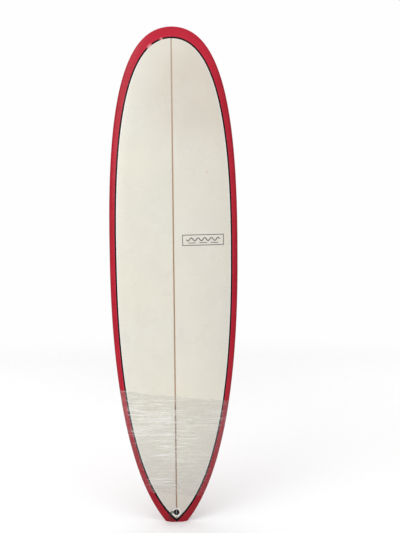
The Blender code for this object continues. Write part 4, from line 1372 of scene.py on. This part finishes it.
WHITE = (1.0, 1.0, 1.0)
FLOOR_RADIUS = 7.0
BACKDROP_STRENGTH = 0.99
LIGHT_AT_LEFT, LIGHT_AT_RIGHT = 0.82, 0.50
BOARD_MIDDLE = (0.0, 0.0, 1.1)

# (name, place, what it points at, side of its square, power)
LAMPS = (("key", (-2.6, -3.2, 2.6), BOARD_MIDDLE, 2.6, 46),
         ("fill", (2.9, -3.0, 2.0), BOARD_MIDDLE, 2.6, 9),
         ("back_left", (-2.8, 3.2, 2.4), BOARD_MIDDLE, 2.6, 34),
         ("back_right", (2.8, 3.2, 2.2), BOARD_MIDDLE, 2.6, 26),
         ("top", (0.0, -0.4, 4.6), (0.0, 0.0, 0.0), 3.0, 60))


def make_floor():
    """A pale floor that fades into the backdrop away from the board."""
    bm = bmesh.new()
    bmesh.ops.create_circle(bm, cap_ends=True, radius=FLOOR_RADIUS, segments=96)
    look = Look("studio_floor")
    look.set(Base_Color=look.mix(look.noise(30.0, 2.0), (0.93, 0.93, 0.93), (0.95, 0.95, 0.95)),
             Roughness=0.75)
    away = look.node("ShaderNodeVectorMath", {0: look.place}, operation="LENGTH").outputs["Value"]
    look.set(Alpha=look.ramp(away, 5.5, 1.2))
    finish_mesh("studio_floor", bm, look.material)


def make_world():
    """Soft light from all round, stronger from the left; the backdrop itself is nearly white."""
    world = bpy.data.worlds.new("studio")
    world.use_nodes = True
    nodes = Nodes(world.node_tree)
    towards = nodes.node("ShaderNodeTexCoord").outputs["Generated"]
    across = nodes.node("ShaderNodeSeparateXYZ", {0: towards}).outputs["X"]
    strength = nodes.node("ShaderNodeMapRange", {
        "Value": across, "From Min": -1.0, "To Min": LIGHT_AT_LEFT, "To Max": LIGHT_AT_RIGHT})
    light = nodes.tree.nodes["Background"]
    nodes.feed(light.inputs["Color"], WHITE)
    nodes.feed(light.inputs["Strength"], strength.outputs["Result"])
    backdrop = nodes.node("ShaderNodeBackground", {"Color": WHITE, "Strength": BACKDROP_STRENGTH})
    seen = nodes.node("ShaderNodeLightPath").outputs["Is Camera Ray"]
    both = nodes.node("ShaderNodeMixShader", {0: seen, 1: light.outputs[0],
                                              2: backdrop.outputs[0]})
    nodes.feed(nodes.tree.nodes["World Output"].inputs["Surface"], both.outputs[0])
    bpy.context.scene.world = world


def make_softbox(name, place, aim, side, power):
    data = bpy.data.lights.new(name, "AREA")
    data.shape = "RECTANGLE"
    data.size = data.size_y = side
    data.energy = power
    lamp = link(bpy.data.objects.new(name, data))
    lamp.location = place
    lamp.rotation_mode = "QUATERNION"
    lamp.rotation_quaternion = (Vector(aim) - Vector(place)).to_track_quat("-Z", "Y")


def make_studio():
    make_world()
    for lamp in LAMPS:
        make_softbox(*lamp)
    make_floor()
    bpy.context.scene.view_settings.view_transform = "Standard"


# ---------------------------------------------------------------- the board

def make_looks():
    return {
        "cream": cream_look(), "red": red_look(), "pinline": pinline_look(), "print": print_look(),
        "film": film_look(), "fin": fin_look(), "foam": foam_look(), "wood": wood_look(),
        "steel": steel_look(), "string": string_look(), "black_plastic": plastic_look(),
    }


def dress_node(name, material):
    """Give a CAD node that stays its finished material."""
    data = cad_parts[name].data
    data.materials.clear()
    data.materials.append(material)


def make_board():
    looks = make_looks()
    make_string(looks["string"])
    for name in ("blank_left", "blank_right"):
        dress_node(name, looks["foam"])
    dress_node("stringer", looks["wood"])
    box_cutters = make_fin_set(looks)
    make_deck_skin(looks["cream"], make_cup_cutter(looks["foam"]))
    make_red_skin(looks["red"], box_cutters)
    make_pinline(looks["pinline"])
    make_emblem(looks["print"])
    make_wrap(looks["film"])
    make_leash_cup(looks["black_plastic"])
    make_leash_pin(looks["steel"])


make_camera()
make_board()
make_studio()
